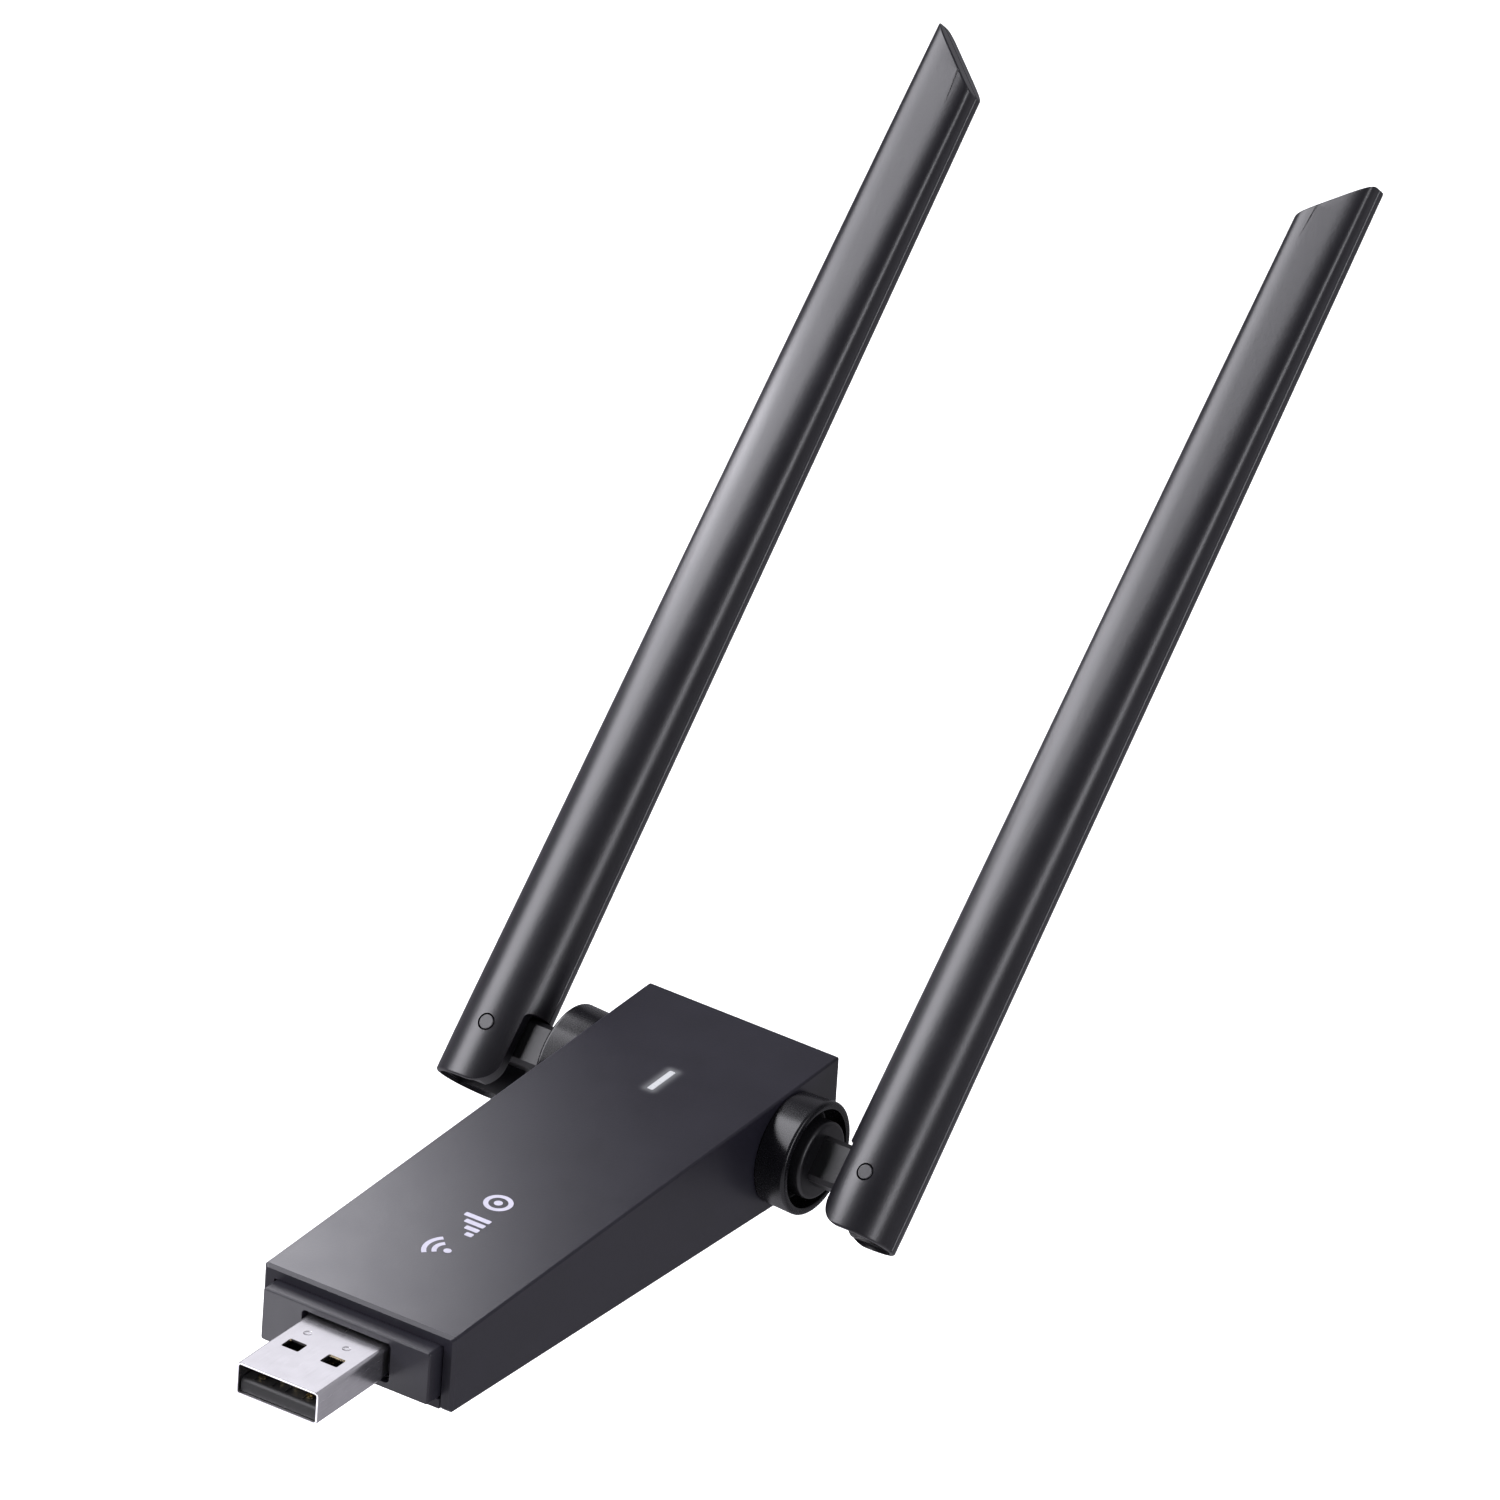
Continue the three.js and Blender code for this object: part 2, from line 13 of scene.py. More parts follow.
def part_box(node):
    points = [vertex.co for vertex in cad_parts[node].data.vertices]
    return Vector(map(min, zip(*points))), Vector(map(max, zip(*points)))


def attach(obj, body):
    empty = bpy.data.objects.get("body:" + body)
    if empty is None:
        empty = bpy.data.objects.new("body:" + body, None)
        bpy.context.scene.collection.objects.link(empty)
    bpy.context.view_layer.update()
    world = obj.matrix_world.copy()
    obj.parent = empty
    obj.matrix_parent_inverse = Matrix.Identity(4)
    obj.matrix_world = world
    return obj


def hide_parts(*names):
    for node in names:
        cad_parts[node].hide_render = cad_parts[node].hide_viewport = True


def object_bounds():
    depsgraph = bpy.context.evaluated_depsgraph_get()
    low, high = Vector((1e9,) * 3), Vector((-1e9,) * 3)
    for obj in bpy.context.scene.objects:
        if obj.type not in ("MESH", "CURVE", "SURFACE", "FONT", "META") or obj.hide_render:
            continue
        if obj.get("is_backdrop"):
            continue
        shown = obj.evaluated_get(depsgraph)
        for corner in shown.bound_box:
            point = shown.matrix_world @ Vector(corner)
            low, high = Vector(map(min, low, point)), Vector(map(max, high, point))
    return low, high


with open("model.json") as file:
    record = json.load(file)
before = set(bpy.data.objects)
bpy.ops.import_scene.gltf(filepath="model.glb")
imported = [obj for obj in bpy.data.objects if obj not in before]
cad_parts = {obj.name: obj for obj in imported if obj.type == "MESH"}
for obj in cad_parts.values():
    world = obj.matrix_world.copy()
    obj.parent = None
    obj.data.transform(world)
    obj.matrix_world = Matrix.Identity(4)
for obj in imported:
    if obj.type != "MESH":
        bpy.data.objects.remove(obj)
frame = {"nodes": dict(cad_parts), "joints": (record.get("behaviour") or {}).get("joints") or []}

bl_info = {
    "name": "USB wifi adapter",
    "version": (1, 0, 0),
    "blender": (4, 5, 0),
    "location": "View3D > Sidebar > Adapter",
    "description": "Models a USB wifi adapter with two folding aerials round its CAD frame",
    "category": "Add Mesh",
}

MM = 0.001
FAR = 1000  # further than any part of the adapter, in millimetres
SLACK = 0.002  # how near two places are the same, in millimetres

# ---------- sizes shared by several pieces, in millimetres ----------



def corners(node):
    """The lowest and the highest corner of a CAD solid."""
    return [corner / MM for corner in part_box(node)]


CASE_LOW, CASE_HIGH = corners("upper_housing")
CASE_SLOPE = 0.0329  # rise of the top face, and fall of the underside, along the case
CASE_WALL = 1.6
BEZEL_LOW, BEZEL_HIGH = corners("front_bezel")
PLUG_LOW, PLUG_HIGH = corners("usb_shell")
TONGUE_LOW, TONGUE_HIGH = corners("usb_insulator")
BOARD_LOW, BOARD_HIGH = corners("main_board")
COVER_LOW, COVER_HIGH = corners("lower_cover")
COLLAR_LOW, COLLAR_HIGH = corners("right_collar")
SCREW_PLACES = (10, 54)
LIGHT_PLACE, LIGHT_LENGTH, LIGHT_WIDTH = 66.6, 5.05, 0.85

FOLD = {joint["name"]: joint for joint in frame["joints"]}["right_fold"]
HINGE = Vector(FOLD["pos_m"]) / MM
SWIVEL_TURN = math.atan2(FOLD["axis"][1], -FOLD["axis"][2]) - math.pi / 2
PIN_HOLE = 1.12  # radius
BLADE_HALF_HEIGHT = 2.95
BLADE_HALF_THICKNESS = 2.2

AERIAL_FOOT, AERIAL_TIP = -7.4, 136.6
AERIAL_FORWARD = 0.5  # how far the casing's middle lies in front of the hinge
# half width, half depth and squareness of the casing's section
AERIAL_SECTION = {"foot": (5.47, 4.95, 2.05), "tip": (4.2, 2.35, 4.5)}
AERIAL_SLANT = math.radians(40)


def half_height(y):
    """Half the case's height at a place along it."""
    return CASE_HIGH.z - (CASE_HIGH.y - y) * CASE_SLOPE


# ---------- modelling ----------


def choose(piece):
    """Makes the piece the only one selected."""
    bpy.ops.object.select_all(action="DESELECT")
    piece.select_set(True)
    bpy.context.view_layer.objects.active = piece


def settle(piece):
    """Puts the piece's place, turn and size into its mesh."""
    choose(piece)
    bpy.ops.object.transform_apply(location=True, rotation=True, scale=True)
    return piece


def started(name):
    """Names the primitive that was just added."""
    piece = bpy.context.object
    piece.name = name
    piece.data.name = name
    return settle(piece)


def block(name, low, high):
    """A box between two corners."""
    low, high = Vector(low) * MM, Vector(high) * MM
    bpy.ops.object.select_all(action="DESELECT")
    bpy.ops.mesh.primitive_cube_add(size=1, location=(low + high) / 2)
    bpy.context.object.scale = high - low
    return started(name)


def rod(name, radius, start, end, sides=64):
    """A cylinder between the middles of its two ends."""
    start, end = Vector(start) * MM, Vector(end) * MM
    bpy.ops.object.select_all(action="DESELECT")
    bpy.ops.mesh.primitive_cylinder_add(
        vertices=sides,
        radius=radius * MM,
        depth=(end - start).length,
        location=(start + end) / 2,
        rotation=(end - start).to_track_quat("Z", "Y").to_euler(),
    )
    return started(name)


def select(piece, parts, *tests):
    """Selects those of the piece's verts, edges or faces that pass every test."""
    bpy.ops.mesh.select_all(action="DESELECT")
    shape = bmesh.from_edit_mesh(piece.data)
    chosen = [part for part in getattr(shape, parts) if all(test(part) for test in tests)]
    if not chosen:
        raise RuntimeError(f"{piece.name} has none of the {parts} that were looked for")
    for part in chosen:
        part.select_set(True)
    bmesh.update_edit_mesh(piece.data)


@contextmanager
def editing(piece, parts, *tests):
    """Edit mode on the piece, with those verts, edges or faces selected that pass every test."""
    choose(piece)
    bpy.ops.object.mode_set(mode="EDIT")
    bpy.ops.mesh.select_mode(type=parts[:-1].upper())
    select(piece, parts, *tests)
    yield
    bpy.ops.object.mode_set(mode="OBJECT")


def within(low=(-FAR, -FAR, -FAR), high=(FAR, FAR, FAR)):
    """A test that passes what lies wholly between two corners."""

    def test(part):
        verts = [part] if isinstance(part, bmesh.types.BMVert) else part.verts
        places = [vert.co / MM for vert in verts]
        return all(low[i] - SLACK <= place[i] <= high[i] + SLACK for place in places for i in range(3))

    return test


def level(axis, value):
    """A test that passes what lies wholly in one plane across an axis."""
    low, high = [-FAR] * 3, [FAR] * 3
    low[axis] = high[axis] = value
    return within(low, high)


def sharp(edge):
    """Whether the faces at an edge turn by more than 40 degrees."""
    return edge.calc_face_angle(0) > math.radians(40)


def along(axis):
    """A test that passes edges parallel to an axis."""

    def test(edge):
        run = edge.verts[1].co - edge.verts[0].co
        return abs(run[axis]) > 0.99 * run.length

    return test


def ringed(low, high=FAR):
    """A test that passes edges whose ends lie between two distances from the X axis."""
    return lambda edge: all(low < math.hypot(vert.co.y, vert.co.z) / MM < high for vert in edge.verts)


def facing(axis, sign):
    """A test that passes faces that look one way along an axis."""
    return lambda face: face.normal[axis] * sign > 0.99


def bevel(piece, radius, steps, *tests):
    """Rounds those edges of the piece that pass the tests."""
    with editing(piece, "edges", *tests):
        bpy.ops.mesh.bevel(offset=radius * MM, segments=steps, affect="EDGES")
    return piece


def shift(piece, step, *tests):
    """Moves those faces of the piece that pass the tests."""
    with editing(piece, "faces", *tests):
        bpy.ops.transform.translate(value=Vector(step) * MM)
    return piece


def apply_modifier(piece, kind, **settings):
    """Adds a modifier to the piece and applies it."""
    modifier = piece.modifiers.new(kind.title(), kind)
    for name, value in settings.items():
        setattr(modifier, name, value)
    choose(piece)
    bpy.ops.object.modifier_apply(modifier=modifier.name)
    return piece


def cut(piece, *tools, operation="DIFFERENCE"):
    """Cuts the tools out of the piece."""
    for tool in tools:
        apply_modifier(piece, "BOOLEAN", operation=operation, solver="EXACT", object=tool)
        bpy.data.objects.remove(tool)
    return piece


def join(piece, *others):
    """Makes the piece and the others one body."""
    return cut(piece, *others, operation="UNION")


def slice_off(piece, place, normal):
    """Cuts away what lies on the side of a plane that its normal points to."""
    with editing(piece, "faces"):
        bpy.ops.mesh.bisect(
            plane_co=Vector(place) * MM, plane_no=normal, use_fill=True, clear_outer=True, threshold=1e-7
        )
    return piece


def turned(name, profile, sides=96):
    """A ring about the X axis whose section is a closed outline of (x, radius)."""
    x, radius = profile[0]
    bpy.ops.object.select_all(action="DESELECT")
    bpy.ops.mesh.primitive_circle_add(
        vertices=sides, radius=radius * MM, location=(x * MM, 0, 0), rotation=(0, math.pi / 2, 0)
    )
    piece = started(name)
    with editing(piece, "edges"):
        for next_x, next_radius in [*profile[1:], profile[0]]:
            bpy.ops.mesh.extrude_region_move(TRANSFORM_OT_translate={"value": ((next_x - x) * MM, 0, 0)})
            growth = next_radius / radius
            bpy.ops.transform.resize(value=(1, growth, growth), center_override=(next_x * MM, 0, 0))
            x, radius = next_x, next_radius
        bpy.ops.mesh.select_all(action="SELECT")
        bpy.ops.mesh.remove_doubles(threshold=1e-7)
        bpy.ops.mesh.normals_make_consistent(inside=False)
    return piece


def mirrored(piece, name):
    """A copy on the other side of the plane x = 0, with its own mesh, whose faces still point out."""
    copy = piece.copy()
    copy.data = piece.data.copy()
    copy.name = copy.data.name = name
    bpy.context.scene.collection.objects.link(copy)
    copy.scale.x = -1
    settle(copy)
    with editing(copy, "faces"):
        bpy.ops.mesh.normals_make_consistent(inside=False)
    return copy


def swung(piece, x=0):
    """Takes a piece that was made upright about the X axis to the swivel, or to the aerial's hinge."""
    piece.rotation_euler.x = SWIVEL_TURN
    piece.location = Vector((x, HINGE.y, HINGE.z)) * MM
    return settle(piece)


def complete(piece, body, finish, slot, *nodes, angle=35):
    """Shades the piece, gives it its finish and fixes it to its body in place of the CAD nodes."""
    choose(piece)
    bpy.ops.object.shade_smooth_by_angle(angle=math.radians(angle))
    apply_modifier(piece, "WEIGHTED_NORMAL", keep_sharp=True, weight=100)
    piece.data.materials.clear()
    piece.data.materials.append(finish)
    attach(piece, body)
    if nodes:
        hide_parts(*nodes)
    return piece


# ---------- finishes ----------


def arithmetic(operation, reflected=False):
    """A method of Field that adds a Math node."""

    def method(self, *others):
        values = (*others, self) if reflected else (self, *others)
        return self.math(operation, *values)

    return method


class Field:
    """A value that varies over a surface. Arithmetic on it adds Math nodes."""

    def __init__(self, sheet, socket):
        self.sheet = sheet
        self.socket = socket

    def math(self, operation, *values, clamp=False):
        settings = {"operation": operation, "use_clamp": clamp}
        return self.sheet.node("ShaderNodeMath", settings, dict(enumerate(values)))

    __add__ = __radd__ = arithmetic("ADD")
    __sub__ = arithmetic("SUBTRACT")
    __rsub__ = arithmetic("SUBTRACT", reflected=True)
    __mul__ = __rmul__ = arithmetic("MULTIPLY")
    __truediv__ = arithmetic("DIVIDE")
    __pow__ = arithmetic("POWER")
    __gt__ = arithmetic("GREATER_THAN")
    __lt__ = arithmetic("LESS_THAN")
    __abs__ = arithmetic("ABSOLUTE")
    fraction = arithmetic("FRACT")
    most = arithmetic("MAXIMUM")

    def clamped(self):
        return self.math("ADD", self, 0, clamp=True)

    def rising(self, low, high):
        """0 below low, 1 above high, and smooth between."""
        sockets = {"Value": self, "From Min": low, "From Max": high}
        return self.sheet.node("ShaderNodeMapRange", {"interpolation_type": "SMOOTHSTEP"}, sockets)


def from_middle(across, lengthwise):
    """How far a point lies from the middle of two fields."""
    return (across * across + lengthwise * lengthwise) ** 0.5


class NodeSheet:
    """The nodes of one material or of the room."""

    def __init__(self, owner):
        owner.use_nodes = True
        self.nodes = owner.node_tree.nodes
        self.links = owner.node_tree.links

    def node(self, kind, settings=None, sockets=None, output=0):
        """Adds a node, sets it up, feeds its sockets and returns one of its outputs."""
        made = self.nodes.new(kind)
        for name, value in (settings or {}).items():
            setattr(made, name, value)
        for name, value in (sockets or {}).items():
            self.feed(made.inputs[name], value)
        return Field(self, made.outputs[output])

    def feed(self, socket, value):
        if isinstance(value, Field):
            self.links.new(value.socket, socket)
        else:
            socket.default_value = value

    def mix(self, first, second, share):
        """One colour turning into another."""
        sockets = {0: share, 6: opaque(first), 7: opaque(second)}
        return self.node("ShaderNodeMix", {"data_type": "RGBA"}, sockets, output=2)

    def tones(self, colour, dark, light, share):
        """A colour that turns from a darker to a lighter tone of itself."""
        return self.mix(shade(colour, dark), shade(colour, light), share)


class Finish(NodeSheet):
    """A material and the fields that vary over it, all in the adapter's own coordinates, in metres."""

    def __init__(self, name):
        self.material = bpy.data.materials.new(name)
        super().__init__(self.material)
        self.shader = self.nodes["Principled BSDF"]
        self.place = self.node("ShaderNodeTexCoord", output="Object")

    def part(self, axis):
        """One coordinate, in millimetres."""
        return self.node("ShaderNodeSeparateXYZ", sockets={0: self.place}, output=axis) * (1 / MM)

    def stretched(self, scale, turn=(0, 0, 0)):
        return self.node("ShaderNodeMapping", sockets={0: self.place, 2: turn, 3: scale})

    def noise(self, size, detail=2.0, roughness=0.5, place=None):
        """Cloudy noise from 0 to 1 whose lumps are about this many millimetres across."""
        scale = 1 / (size * MM)
        sockets = {"Vector": place or self.place, "Scale": scale, "Detail": detail, "Roughness": roughness}
        return self.node("ShaderNodeTexNoise", None, sockets)

    def cells(self, size):
        """The distance to the nearest of many scattered points, in cell sizes."""
        sockets = {"Vector": self.place, "Scale": 1 / (size * MM)}
        return self.node("ShaderNodeTexVoronoi", None, sockets, output="Distance")

    def worn(self, radius=0.25):
        """1 on outer and inner edges and 0 on flat faces: the mask for edge wear and for a painted edge
        highlight.
        """
        rounded = self.node("ShaderNodeBevel", {"samples": 4}, {"Radius": radius * MM})
        flat = self.node("ShaderNodeNewGeometry", output="Normal")
        settings, sockets = {"operation": "DOT_PRODUCT"}, {0: rounded, 1: flat}
        alike = self.node("ShaderNodeVectorMath", settings, sockets, "Value")
        return (1 - alike).rising(0.01, 0.25)

    def bump(self, height, depth):
        """A normal from a height of 0 to 1 that stands for this many millimetres."""
        sockets = {"Height": height, "Distance": depth * MM, "Strength": 1.0}
        return self.node("ShaderNodeBump", None, sockets)

    def set(self, **values):
        """Feeds the shader's sockets. An underscore in a name stands for a space."""
        for name, value in values.items():
            self.feed(self.shader.inputs[name.replace("_", " ")], value)
        return self.material


def opaque(colour):
    """A plain colour with its alpha, or a field as it is."""
    return colour if isinstance(colour, Field) else (*colour[:3], 1.0)


def shade(colour, factor):
    """A lighter or darker plain colour."""
    return tuple(min(1.0, part * factor) for part in colour[:3])


def moulded_plastic(name, colour, roughness, grain=0.16, depth=0.012, specular=0.5):
    """Moulded plastic with a fine spark-eroded grain, cloudy sheen and edges polished by handling, their
    lighter colour a painted edge highlight.
    """
    return moulded_finish(name, colour, roughness, grain, depth, specular).material


def moulded_finish(name, colour, roughness, grain, depth, specular):
    finish = Finish(name)
    fine = finish.noise(grain, detail=3.0, roughness=0.6)
    cloud = finish.noise(6.0, detail=3.0)
    worn = finish.worn()
    tone = (fine * 0.5 + cloud * 0.5).rising(0.3, 0.7)
    base = finish.tones(colour, 0.88, 1.14, tone)
    # Edges are lighter in colour: partly wear, partly a painted edge highlight.
    base = finish.mix(base, shade(colour, 1.7), worn * 0.5)
    swing = min(0.16, 0.8 * (roughness - 0.2))
    rough = (fine - 0.5) * swing + (cloud - 0.5) * swing * 0.6 - worn * 0.06 + roughness
    height = fine * 0.7 + finish.cells(grain * 2.2) * 0.3
    finish.set(
        Base_Color=base,
        Roughness=rough.clamped(),
        Normal=finish.bump(height, depth),
        Specular_IOR_Level=specular,
    )
    return finish


def case_plastic(colours):
    """The case's satin plastic, with the light's glow in the plastic round its window."""
    finish = moulded_finish("case_plastic", colours.case, 0.35, 0.17, 0.008, 0.42)
    across = (abs(finish.part(0)) - LIGHT_WIDTH / 2).most(0)
    lengthwise = (abs(finish.part(1) - LIGHT_PLACE) - LIGHT_LENGTH / 2).most(0)
    glow = (1 - from_middle(across, lengthwise).rising(0, 1.6)) ** 2.5 * (finish.part(2) > 0)
    shine = finish.mix((0, 0, 0), colours.light, glow * 0.16)
    return finish.set(Emission_Color=shine, Emission_Strength=1)


def plated_metal(name, colour, roughness, drawn=(1, 0.02, 1), depth=0.002):
    """Plated sheet metal with fine drawing marks, faint clouds and a few hairline scratches."""
    finish = Finish(name)
    marks = finish.noise(0.09, detail=4.0, roughness=0.65, place=finish.stretched(scale=drawn))
    cloud = finish.noise(2.5, detail=3.0)
    crossing = finish.stretched(scale=(1, 0.04, 1), turn=(0, 0, 0.5))
    scratch = 1 - finish.noise(0.14, detail=1.0, place=crossing).rising(0.22, 0.28)
    worn = finish.worn(0.15)
    tone = (marks * 0.6 + cloud * 0.4).rising(0.25, 0.75)
    base = finish.tones(colour, 0.9, 1.05, tone)
    # Edges are painted lighter: partly wear, partly a painted edge highlight.
    base = finish.mix(base, shade(colour, 1.1), worn)
    rough = (marks - 0.5) * 0.12 + (cloud - 0.5) * 0.08 + scratch * 0.06 + roughness
    height = marks * 0.6 + scratch * 0.3
    normal = finish.bump(height, depth)
    return finish.set(Base_Color=base, Roughness=rough.clamped(), Metallic=1.0, Normal=normal)


def circuit_board(colour):
    """Solder mask over copper tracks that run along and across the board, with plated holes."""
    finish = Finish("circuit_board")
    x, y = finish.part(0), finish.part(1)
    patch = finish.noise(7.0, detail=0.0) > 0.5
    lines = (x / 0.9).fraction() * patch + (y / 0.9).fraction() * (1 - patch)
    track = (abs(lines - 0.5) < 0.2) * (finish.noise(3.0, detail=1.0) > 0.42)
    hole = finish.cells(2.3) < 0.12
    ring = (finish.cells(2.3) < 0.2) - hole
    fine = finish.noise(0.2, detail=3.0)
    mask = finish.tones(colour, 0.8, 1.9, (track + fine * 0.3).clamped())
    # The holes are painted near black: painted shade inside them.
    base = finish.mix(finish.mix(mask, (0.75, 0.52, 0.2), ring), (0.01, 0.01, 0.01), hole)
    height = track * 0.8 + ring - hole + fine * 0.1
    rough, normal = 0.42 + fine * 0.16, finish.bump(height, 0.03)
    return finish.set(Base_Color=base, Roughness=rough, Metallic=ring * 0.9, Normal=normal)


def chip_resin(name, colour, size, middle):
    """Moulded chip resin: matt, finely speckled, with a round moulding mark near one corner."""
    finish = Finish(name)
    fine = finish.noise(0.12, detail=4.0, roughness=0.7)
    across = finish.part(0) - (middle[0] - size * 0.36)
    lengthwise = finish.part(1) - (middle[1] - size * 0.36)
    mark = 1 - from_middle(across, lengthwise).rising(size * 0.05, size * 0.06)
    worn = finish.worn(0.08)
    base = finish.tones(colour, 0.75, 1.6, fine)
    # Edges are painted lighter, partly wear and partly a painted edge highlight; the moulding mark is
    # lighter in its own colour.
    base = finish.mix(base, shade(colour, 2.4), (worn * 0.6 + mark * 0.5).clamped())
    height = fine * 0.3 - mark
    rough = 0.52 + fine * 0.25 - mark * 0.2
    return finish.set(Base_Color=base, Roughness=rough, Normal=finish.bump(height, 0.02))


def pressed_can(colour):
    """Tinned sheet with brushing along its length and a field of small pressed dimples."""
    finish = Finish("tinned_can")
    marks = finish.noise(0.1, detail=3.0, place=finish.stretched(scale=(1, 0.03, 1)))
    across = (finish.part(0) / 1.8).fraction() - 0.5
    lengthwise = (finish.part(1) / 1.8).fraction() - 0.5
    dimple = 1 - from_middle(across, lengthwise).rising(0.14, 0.24)
    cloud = finish.noise(3.0, detail=3.0)
    base = finish.tones(colour, 0.82, 1.1, (marks * 0.5 + cloud * 0.5).rising(0.3, 0.7))
    rough = 0.3 + (marks - 0.5) * 0.2 + dimple * 0.1
    height = marks * 0.05 - dimple
    normal = finish.bump(height, 0.05)
    return finish.set(Base_Color=base, Roughness=rough.clamped(), Metallic=1.0, Normal=normal)


def sintered(name, colour):
    """Sintered ferrite: coarse grey grain with small pits."""
    finish = Finish(name)
    grain = finish.noise(0.15, detail=5.0, roughness=0.75)
    pits = finish.cells(0.3) < 0.16
    base = finish.tones(colour, 0.7, 1.5, grain)
    # The pits are painted darker: painted shade in them.
    base = finish.mix(base, shade(colour, 0.4), pits)
    normal = finish.bump(grain * 0.6 - pits, 0.03)
    return finish.set(Base_Color=base, Roughness=0.6 + grain * 0.25, Normal=normal)


def milky_lens(colour):
    """Milky clear plastic that is lit from below, a little brighter in its middle."""
    finish = Finish("milky_lens")
    cloud = finish.noise(0.5, detail=2.0)
    across = abs(finish.part(0)) / (LIGHT_WIDTH / 2)
    edge = across.most(abs(finish.part(1) - LIGHT_PLACE) / (LIGHT_LENGTH / 2))
    lit = finish.tones(colour, 1.0, 0.8, (edge.rising(0.6, 1.0) * 0.8 + cloud * 0.2).clamped())
    height = finish.noise(0.15, detail=2.0)
    return finish.set(
        Base_Color=finish.tones(colour, 0.24, 0.2, cloud),
        Roughness=0.22 + cloud * 0.15,
        Emission_Color=lit,
        Emission_Strength=0.3,
        Normal=finish.bump(height, 0.004),
    )


def lamp_resin(colour):
    """The lamp's yellowish phosphor resin in its pale frame."""
    finish = Finish("lamp_resin")
    grain = finish.noise(0.1, detail=4.0)
    base = finish.tones(colour, 0.8, 1.1, grain)
    return finish.set(Base_Color=base, Roughness=0.3 + grain * 0.2, Normal=finish.bump(grain, 0.005))


def printing_ink(colour):
    """Pad-printed ink: slightly uneven in tone, with a soft sheen."""
    finish = Finish("printing_ink")
    grain = finish.noise(0.12, detail=4.0, roughness=0.7)
    cloud = finish.noise(1.2, detail=2.0)
    base = finish.tones(colour, 0.86, 1.06, (grain * 0.6 + cloud * 0.4).rising(0.3, 0.7))
    rough, normal = 0.52 + grain * 0.2, finish.bump(grain, 0.004)
    return finish.set(Base_Color=base, Roughness=rough, Normal=normal, Specular_IOR_Level=0.3)


# ---------- what a user would change ----------


def amount(name, description, default, min=0, **settings):
    return FloatProperty(name=name, description=description, default=default, min=min, **settings)


def length(name, description, default):
    """A property for a length that is given in millimetres."""
    return amount(name, description, default * MM, unit="LENGTH")


def angle(name, description, default):
    """A property for an angle that is given in degrees."""
    return amount(name, description, math.radians(default), min=-math.pi, subtype="ANGLE")


def colour(name, description, default):
    settings = {"default": default, "min": 0, "max": 1, "subtype": "COLOR"}
    return FloatVectorProperty(name=name, description=description, **settings)


class AdapterSizes(bpy.types.PropertyGroup):
    """Sizes of the details that the frame leaves open."""

    case_edge: length("Case edge", "Radius of the case's edges", 0.3)
    rim_chamfer: length("Rim chamfer", "Width of the chamfer round the front of the case", 0.42)
    bezel_edge: length("Bezel edge", "Radius of the bezel's outer edges", 0.24)
    sheet: length("Plug sheet", "Thickness of the plug's metal sheet", 0.32)
    plug_corner: length("Plug corner", "Outer radius of the plug's bent corners", 0.6)
    barrel_flare: length("Barrel flare", "How much narrower the barrel is at the case", 0.2)
    boss_edge: length("Boss edge", "Radius round the face of the turning boss", 0.5)
    blade_chamfer: length("Blade chamfer", "Width of the chamfer along the hinge blade", 0.6)
    tip_edge: length("Tip edge", "Radius round the slanting tip of an aerial", 0.22)
    parting: length("Parting groove", "Width of the chamfer where an aerial's two shells meet", 0.07)
    pin_head: length("Pin head", "Radius of the hinge pin's head", 0.97)
    print_stroke: length("Print stroke", "Width of the lines of the printed signs", 0.62)


class AdapterColours(bpy.types.PropertyGroup):
    """Colours of the finishes."""

    case: colour("Case", "Charcoal plastic of the case", (0.0066, 0.0061, 0.0102))
    bezel: colour("Bezel", "Charcoal plastic of the bezel", (0.0068, 0.0063, 0.0104))
    gloss: colour("Gloss", "Black plastic of the collars and stems", (0.0022, 0.0021, 0.0030))
    aerial: colour("Aerial", "Black plastic of the aerials", (0.0046, 0.0043, 0.0062))
    moulding: colour("Moulding", "Black moulding inside the plug", (0.012, 0.012, 0.0125))
    nickel: colour("Nickel", "Nickel plate of the plug", (0.80, 0.79, 0.81))
    gold: colour("Gold", "Gold plate of the contacts", (0.88, 0.74, 0.42))
    zinc: colour("Zinc", "Zinc plate of the screws and clips", (0.42, 0.43, 0.46))
    board: colour("Board", "Solder mask of the board", (0.010, 0.085, 0.035))
    light: colour("Light", "Light of the status window", (0.93, 0.95, 1.0))
    ink: colour("Ink", "Printed signs on the top", (0.33, 0.32, 0.39))


class AdapterStage(bpy.types.PropertyGroup):
    """The camera, the lights and the floor."""

    azimuth: angle("Azimuth", "Camera's turn to the right, from straight in front of the plug", 32.43)
    elevation: angle("Elevation", "Camera's height above the horizon", 29.58)
    roll: angle("Roll", "Camera's turn about its own line of sight", 3.9)
    distance: length("Distance", "From the camera to what it looks at", 4030.7)
    lens: amount("Lens", "Focal length in millimetres", 796.8)
    aim: FloatVectorProperty(
        name="Aim",
        description="What the camera looks at",
        default=(1.87 * MM, 78.63 * MM, 49.14 * MM),
        subtype="TRANSLATION",
        unit="LENGTH",
    )
    floor_drop: length("Floor drop", "How far the floor lies under the adapter", 60)
    ambient: amount("Ambient", "Brightness of the white room", 1.06)
    mirrored_dark: amount("Mirrored dark", "Brightness in reflections from behind the camera", 0.10)
    mirrored_floor: amount("Mirrored floor", "Brightness in reflections of the floor in front", 0.85)
    mirrored_backdrop: amount("Mirrored backdrop", "Brightness in reflections of the backdrop", 0.35)


# ---------- the pieces ----------


def settings(context):
    """The sizes and the colours that the user has set."""
    return context.scene.adapter_sizes, context.scene.adapter_colours


